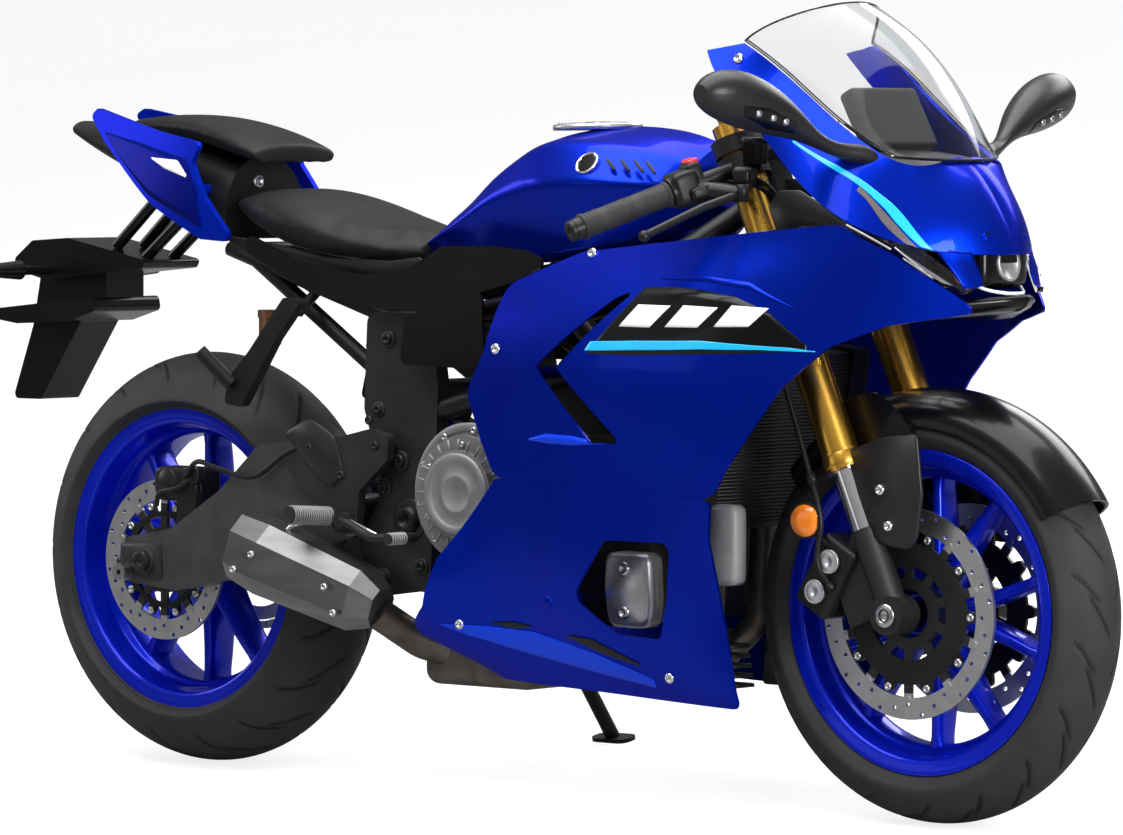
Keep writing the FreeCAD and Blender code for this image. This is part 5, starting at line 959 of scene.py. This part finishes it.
stations = np.array([
    # x, half width at the crease, low z, crease z, upper crease half width, upper crease z, top z
    (505, 84, 788, 806, 60, 815, 821), (548, 100, 782, 824, 76, 840, 852),
    (600, 116, 779, 846, 92, 868, 886), (650, 128, 779, 868, 104, 902, 928),
    (700, 138, 780, 884, 112, 930, 955), (745, 148, 786, 894, 118, 950, 972),
    (790, 157, 794, 899, 120, 958, 979), (860, 161, 804, 902, 116, 956, 980),
    (920, 150, 816, 900, 104, 948, 975), (965, 122, 838, 896, 84, 938, 966),
    (998, 84, 862, 890, 60, 926, 954)], float)
lengthwise = smooth_line(stations, 120)
sections = []
for x, wide, low, crease, upper_wide, upper, top in lengthwise:
    half = [(x, -wide * 0.80, low), (x, -wide * 0.88, low + (crease - low) * 0.5), (x, -wide, crease),
            (x, -upper_wide, upper), (x, -upper_wide * 0.45, (upper + 2 * top) / 3), (x, 0, top)]
    sections.append(creased(half, 64, 2))
half = np.array(sections)
grid = np.concatenate([half, mirrored(half[:, ::-1][:, 1:])], 1)
piece("tank_shell", grid.reshape(-1, 3), tube_faces(*grid.shape[:2]), blue_paint, "chassis", "blue_paint",
      ("fuel_tank",))

cap, cap_up, bolt_ring = (764, 0, 979), (-0.03, 0, 1), 56
ring = lathe([(-4, 66), (3.2, 66), (5.2, 62), (5.2, 50), (3.6, 47.5), (-4, 47.5)], cap, cap_up, 64)
piece("filler_ring", *ring, silver_paint, "chassis", "bare_steel")
lid = lathe([(-4, 47), (4.8, 46.6), (6.4, 44), (6.4, 20), (7.4, 18), (7.4, 0.4)], cap, cap_up, 64)
piece("filler_cap", *lid, black_gloss, "chassis", "black_gloss")
parts = []
for angle in 2 * math.pi * np.arange(7) / 7:
    parts.append(bolt((cap[0] + bolt_ring * math.cos(angle), bolt_ring * math.sin(angle), cap[2] + 5),
                      (0, 0, 1), 4, 2))
built("filler_bolts", parts, bare_steel, "chassis", "bare_steel")

disc, rim_parts, slots = [], [], []
for side in (-1, 1):
    out = np.array([0, side * 0.80, 0.60])
    centre = np.array([862, side * 141.5, 927])
    disc.append(lathe([(-3, 15.5), (1.6, 15.5), (1.8, 13), (1.8, 0.4)], centre, out, 40))
    rim_parts.append(lathe([(-3, 15.6), (2.2, 15.6), (3.0, 16.6), (3.0, 18), (1.6, 19), (-3, 19)], centre,
                           out, 48))
    for number, x in enumerate((906, 928, 949, 966)):
        middle = np.array([x, side * (137 - 6.0 * number), 926 - 1.5 * number])
        start, end = middle + (-9, side * 4, 9), middle + (9, side * 6, -9)
        slots.append(swept(run_along([start, end], 8), np.array([2.2, 3.4, 3.8, 4, 4, 3.8, 3.4, 2.2]), 12, 0.55,
                           lift=(0.7, 0, 0.7)))
built("badge_plates", disc, black_gloss, "chassis", "black_gloss")
built("badge_rings", rim_parts, chrome, "chassis", "bare_steel")
# Each cooling slot is a dull near-black shape on the band: painted shade standing for its opening.
built("tank_slots", slots, shadow_black, "chassis", "black_plastic")

# The seats
# Moulded foam pads under grained vinyl, stretched and stapled over their pans, so the edges swell softly and
# the tops stay crowned. Each starts a little smaller than its pan and is swollen as cloth under pressure.


def swollen_pad(name, node, shrink, cap):
    """A pad from a CAD pad's form: made smaller, remeshed, swollen as cloth, and held to its pan below."""
    made = bpy.data.objects.new(name, frame["nodes"][node].data.copy())
    bpy.context.scene.collection.objects.link(made)
    work = bmesh.new()
    work.from_mesh(made.data)
    bmesh.ops.remove_doubles(work, verts=work.verts, dist=0.00001)
    bmesh.ops.recalc_face_normals(work, faces=work.faces)
    work.to_mesh(made.data)
    work.free()
    grain = made.modifiers.new("even", "REMESH")
    grain.mode = "VOXEL"
    grain.voxel_size = 0.006
    baked(made)
    mesh = made.data
    normals = coordinates(mesh, "normal")
    start = coordinates(mesh) - normals * shrink / 1000
    mesh.vertices.foreach_set("co", start.ravel())
    facing_down = -0.55
    below = normals @ lean[:, 2] < facing_down
    held = made.vertex_groups.new(name="pan")
    held.add(np.nonzero(below)[0].tolist(), 1.0, "REPLACE")
    cloth = made.modifiers.new("swell", "CLOTH")
    cloth.settings.quality = 6
    cloth.settings.mass = 0.3
    cloth.settings.tension_stiffness = cloth.settings.compression_stiffness = 30
    cloth.settings.shear_stiffness = 15
    cloth.settings.bending_stiffness = 8
    cloth.settings.use_pressure = True
    cloth.settings.uniform_pressure_force = 4
    cloth.settings.vertex_group_mass = "pan"
    cloth.settings.effector_weights.gravity = 0
    for number in range(1, 15):
        bpy.context.scene.frame_set(number)
    shown = made.evaluated_get(bpy.context.evaluated_depsgraph_get()).to_mesh()
    moved = coordinates(shown) - start
    far = np.maximum(np.linalg.norm(moved, axis=1, keepdims=True) * 1000 / cap, 1)
    made.modifiers.clear()
    mesh.vertices.foreach_set("co", (start + moved / far).ravel())
    bpy.context.scene.frame_set(1)
    made.vertex_groups.clear()
    mesh.materials.clear()
    mesh.materials.append(vinyl)
    mesh.polygons.foreach_set("use_smooth", [True] * len(mesh.polygons))
    ease = made.modifiers.new("ease", "SMOOTH")
    ease.factor, ease.iterations = 0.5, 6
    finer = made.modifiers.new("finer", "SUBSURF")
    finer.levels = finer.render_levels = 1
    baked(made)
    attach(made, "chassis")
    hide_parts(node)


swollen_pad("rider_saddle", "rider_seat", 3, 3)
swollen_pad("pillion_pad", "pillion_seat", 3, 3)

# The engine, frame and running gear's fittings
# Ribbed and bolted cast covers, cast plates with steel bolts, knurled pegs on brackets, a roller chain, a
# coil spring, the cooler's fins and the cast adjusters of the rear axle.

clutch = np.array([686.0, -224.3, 446])
cover_bolts, rib_parts = [], []
for total, turn, radius, depth, size, height in ((10, 0.2, 93, 28.5, 6, 5), (6, 0.5, 72, 12, 5, 4.5)):
    for angle in 2 * math.pi * np.arange(total) / total + turn:
        spot = clutch + np.array([radius * math.cos(angle), depth, radius * math.sin(angle)])
        cover_bolts.append(bolt(spot, right, size, height))
rib_parts.append(lathe([(-8, 60), (2.4, 60), (4, 57), (4, 50), (2, 47.5), (0.8, 46), (0.8, 30), (2.6, 28),
                        (2.6, 24), (0.8, 22), (0.8, 0.5)], clutch, right, 72))
rib_parts.append(lathe([(-30, 103.4), (-27, 103.4), (-25, 101), (-25, 92), (-27, 90), (-30, 90)], clutch,
                       right, 96))
for number in range(24):
    angle = 2 * math.pi * number / 24
    spoke = np.array([math.cos(angle), 0, math.sin(angle)])
    rib_parts.append(swept([clutch + spoke * 63 + (0, 4, 0), clutch + spoke * 80 + (0, 5, 0)], 1.7, 8))
built("clutch_cover_ribs", rib_parts, grey_cast, "chassis", "grey_cast")
built("cover_bolts", cover_bolts, bare_steel, "chassis", "bare_steel")

# Bolts and bosses of the plates, the arm and the brackets
bosses, nuts = [], []
plate_face, arm_face = 138, 172.2
for x, z, size in ((503, 484, 11), (471, 444, 10), (478, 664, 9), (545, 330, 9), (521, 399, 22), (470, 312, 9),
                   (460, 560, 8)):
    for side in (-1, 1):
        bosses.append(lathe([(-2, size * 1.45), (2.0, size * 1.45), (3.2, size * 1.3), (3.2, 0.5)],
                            (x, side * plate_face, z), (0, side, 0), 32))
        nuts.append(bolt((x, side * (plate_face + 3), z), (0, side, 0), size, size * 0.55))
for x, z in ((352, 500), (482, 508), (415, 462), (388, 405), (470, 545)):
    for side in (-1, 1):
        nuts.append(bolt((x, side * arm_face, z), (0, side, 0), 7, 4))
for side in (-1, 1):
    nuts.append(lathe([(-3, 17), (8, 17), (10, 15), (10, 7), (7, 6), (7, 0.5)], (0, side * 161.0, 315),
                      (0, side, 0), 6))
    bosses.append(plate([(-52, 340), (-46, 288), (34, 288), (30, 344)], 8, side, 151, 155.5))
    nuts.append(bolt((-30, side * 155, 300), (0, side, 0), 6, 4))
    nuts.append(swept(run_along([(-50, side * 138, 312), (-74, side * 138, 311)], 6), 4.2, 12))
    nuts.append(lathe([(-4, 8), (4, 8), (5, 6.5), (5, 0.5)], (-62, side * 138, 311.5), (-1, 0, 0), 6))
built("plate_bosses", bosses, dark_cast, "chassis", "grey_cast")
built("plate_bolts", nuts, black_metal, "chassis", "black_metal")

# Knurled pegs and toe pieces, the chromed pedal links and the heel guards
parts, steels, guards = [], [], []
for side in (-1, 1):
    root, tip = np.array([400.0, side * 168, 400]), np.array([385.0, side * 254, 405])
    line = tip - root
    for number in range(18):
        spot = root + line * (0.16 + 0.8 * number / 17)
        parts.append(lathe([(-1.4, 13.0), (-0.6, 14.6), (0.6, 14.6), (1.4, 13.0)], spot, line, 16))
    guards.append(plate([(300, 520), (352, 545), (402, 520), (420, 470), (398, 440), (356, 470)], 14, side,
                        171, 175, 1.2))
    toe = np.array([566.0, side * 203, 376])
    for number in range(7):
        parts.append(lathe([(-1.6, 8.0), (-0.6, 9.6), (0.6, 9.6), (1.6, 8.0)],
                           toe + (0, side * (2 + 5 * number), 0), (0, side, 0), 16))
    run = smooth_line([(436, side * 176, 395), (470, side * 180, 384), (500, side * 181, 374)], 20)
    steels.append(swept(run, 4, 12))
run = smooth_line([(285, -204, 331), (310, -203, 356), (343, -199, 385), (352, -190, 388)], 24)
steels.append(swept(run, 4.2, 14))
steels.append(lathe([(-4, 8), (4, 8), (5, 6.5), (5, 0.5)], (285, -205, 331), right, 20))
built("peg_knurls", parts, grey_cast, "chassis", "grey_cast")
built("heel_guards", guards, dark_plastic, "chassis", "black_plastic")
built("bright_links", steels, chrome, "chassis", "bare_steel")

# Drive chain: side plates in two alternating widths with rollers between, in place of its plain loop
front_cog, rear_cog = np.array([610.0, 100, 410]), np.array([0.0, 100, 315])
line = front_cog - rear_cog
span = np.linalg.norm(line)
slant = math.atan2(line[2], line[0])
large, small, links = 112.0, 48.0, 116
lift_angle = math.acos((large - small) / span)
top, bottom = slant + lift_angle, slant - lift_angle
arcs = []
for cog, radius, arc in ((front_cog, small, np.linspace(top, bottom, 60)),
                         (rear_cog, large, np.linspace(bottom, top - 2 * math.pi, 120))):
    arcs.append(cog + radius * np.stack([np.cos(arc), 0 * arc, np.sin(arc)], -1))
loop = np.concatenate(arcs)
loop = run_along(np.concatenate([loop, loop[:1]]), links + 1)[:-1]
shape = np.array([(-9.5, 0), (-8, 5.4), (-4, 6.4), (0, 4.6), (4, 6.4), (8, 5.4), (9.5, 0), (8, -5.4), (4, -6.4),
                  (0, -4.6), (-4, -6.4), (-8, -5.4)])
parts = []
for number, (start, end) in enumerate(zip(loop, np.roll(loop, -1, 0))):
    ahead = unit(end - start)
    across_link = np.array([-ahead[2], 0, ahead[0]])
    middle = (start + end) / 2
    reach = 5.4 if number % 2 else 3.9
    for side in (-1, 1):
        flat = middle + shape[:, :1] * ahead + shape[:, 1:] * across_link
        rings = [flat + (0, side * away, 0) for away in (reach - 1.2, reach + 0.2)]
        parts.append((np.concatenate(rings), tube_faces(2, len(shape))))
    parts.append(lathe([(-5.9, 2.6), (5.9, 2.6)], start, (0, 1, 0), 8))
built("chain_links", parts, bare_steel, "chassis", "bare_steel", ("chain",), smooth=False)

# Shock: a wound spring round the damper between two seats, in place of its rings
low, high = np.array([384.0, 0, 420]), np.array([492.0, 0, 578])
line = unit(high - low)
across_line = np.cross(line, (0, 1, 0))
length = np.linalg.norm(high - low)
coil_radius, coil_turns = 30, 6.2
turns = np.linspace(0, 2 * math.pi * coil_turns, 420)
reach = np.linspace(0.25, 0.86, 420) * length
wound = np.cos(turns)[:, None] * np.array([0, 1, 0]) + np.sin(turns)[:, None] * across_line
coil = low + reach[:, None] * line + coil_radius * wound
built("shock_spring", [swept(coil, 5, 12, lift=tuple(line))], spring_blue, "chassis", "spring", ("shock",))
body = lathe([(0, 10), (0, 15.5), (length * 0.19, 15.5), (length * 0.2, 34), (length * 0.235, 34),
              (length * 0.24, 20), (length * 0.6, 20), (length * 0.61, 13), (length * 0.87, 13),
              (length * 0.875, 34), (length * 0.91, 34), (length * 0.915, 16), (length, 16), (length, 10)],
             low, line, 40)
piece("shock_body", *body, black_metal, "chassis", "black_metal")

# Cooler fins and the louvres under them, the side covers in the fairing's windows, and the coolant tanks
cooler_face, cooler_tilt = np.array([1108.6, 0, 532.0]), math.radians(8)
fins = []
for high_z in np.linspace(-118, 118, 46):
    spot = cooler_face + high_z * np.array([math.sin(cooler_tilt), 0, math.cos(cooler_tilt)])
    fins.append(swept([spot + (0, -143, 0), spot + (0, 143, 0)], 1.3, 6))
built("cooler_fins", fins, black_metal, "chassis", "black_metal")
parts, tank, slats = [], [], []
for side in (-1, 1):
    parts.append(plate([(930, 372), (1010, 372), (1014, 300), (1008, 264), (936, 264), (926, 320)], 16, side,
                       149, 183, 7))
    tank.append(plate([(1098, 446), (1150, 446), (1150, 330), (1100, 330)], 16, side, 132, 158, 6))
    for number in range(5):
        z = 180 + 14 * number
        slats.append(plate([(1040, z), (1112 - 2 * number, z), (1110 - 2 * number, z + 6), (1040, z + 6)], 2,
                           side, 62, 104, 1))
    slats.append(plate([(1030, 172), (1062, 172), (1070, 262), (1034, 262)], 6, side, 60, 106, 2))
built("crankcase_side_covers", parts, silver_paint, "chassis")
built("coolant_tanks", tank, tank_plastic, "chassis")
built("lower_louvres", slats, black_plastic, "chassis", "black_plastic")
parts = [bolt((968, side * 182.5, z), (0, side, 0), 11, 5) for z in (348, 286) for side in (-1, 1)]
built("cover_side_bolts", parts, bare_steel, "chassis", "bare_steel")

# The silencer's outlet ring and bolts, and the rear brake's hoses and caliper body
muffler_low, muffler_high = np.array([490.0, -178, 268]), np.array([246.0, -200, 352])
pipe = unit(muffler_high - muffler_low)
ring = lathe([(-10, 22.5), (1, 22.5), (3, 25), (3, 33), (0, 36), (-10, 36)], muffler_high, pipe, 40)
piece("outlet_ring", *ring, bare_steel, "chassis", "exhaust_steel")
spots = ((300, -243, 342), (440, -236, 300), (455, -233, 262), (262, -241, 318))
parts = [bolt(spot, (0.05, -1, 0.1), 6, 5) for spot in spots]
built("silencer_bolts", parts, bare_steel, "chassis", "bare_steel")
hose = smooth_line([(78, -150, 446), (110, -158, 470), (160, -164, 462), (230, -163, 452), (300, -160, 492),
                    (380, -158, 512), (432, -150, 500)], 70)
short_hose = smooth_line([(88, -140, 452), (70, -154, 430), (28, -152, 420), (14, -146, 400)], 40)
parts = [swept(hose, 4, 12), swept(short_hose, 4, 12)]
built("rear_brake_hose", parts, black_plastic, "chassis", "black_plastic")
parts = [pebble((50, -134, 436), (44, 12, 24), 0.4),
         lathe([(-6, 21), (5, 21), (7, 19), (7, 0.5)], (36, -140, 436), right, 32),
         pebble((84, -138, 448), (16, 10, 14), 0.45)]
built("rear_caliper_body", parts, black_metal, "chassis", "black_metal")

# Skirts that close the rider's saddle to the side covers, and the lock of the pillion seat
parts = []
for side in (-1, 1):
    parts.append(plate([(128, 812), (180, 808), (251, 798), (330, 783), (460, 779), (522, 786), (534, 770),
                        (471, 750), (371, 740), (251, 754), (158, 788)], 4, side, 116, 119, 1))
built("seat_skirts", parts, black_plastic, "chassis", "black_plastic")
lock = lathe([(-3, 11), (1.5, 11), (2.5, 9.6), (2.5, 6.4), (1.2, 6), (1.2, 0.5)], (104, -16, 893),
             (1, 0, 0.05), 36)
piece("pillion_lock", *lock, disc_steel, "chassis", "bare_steel")
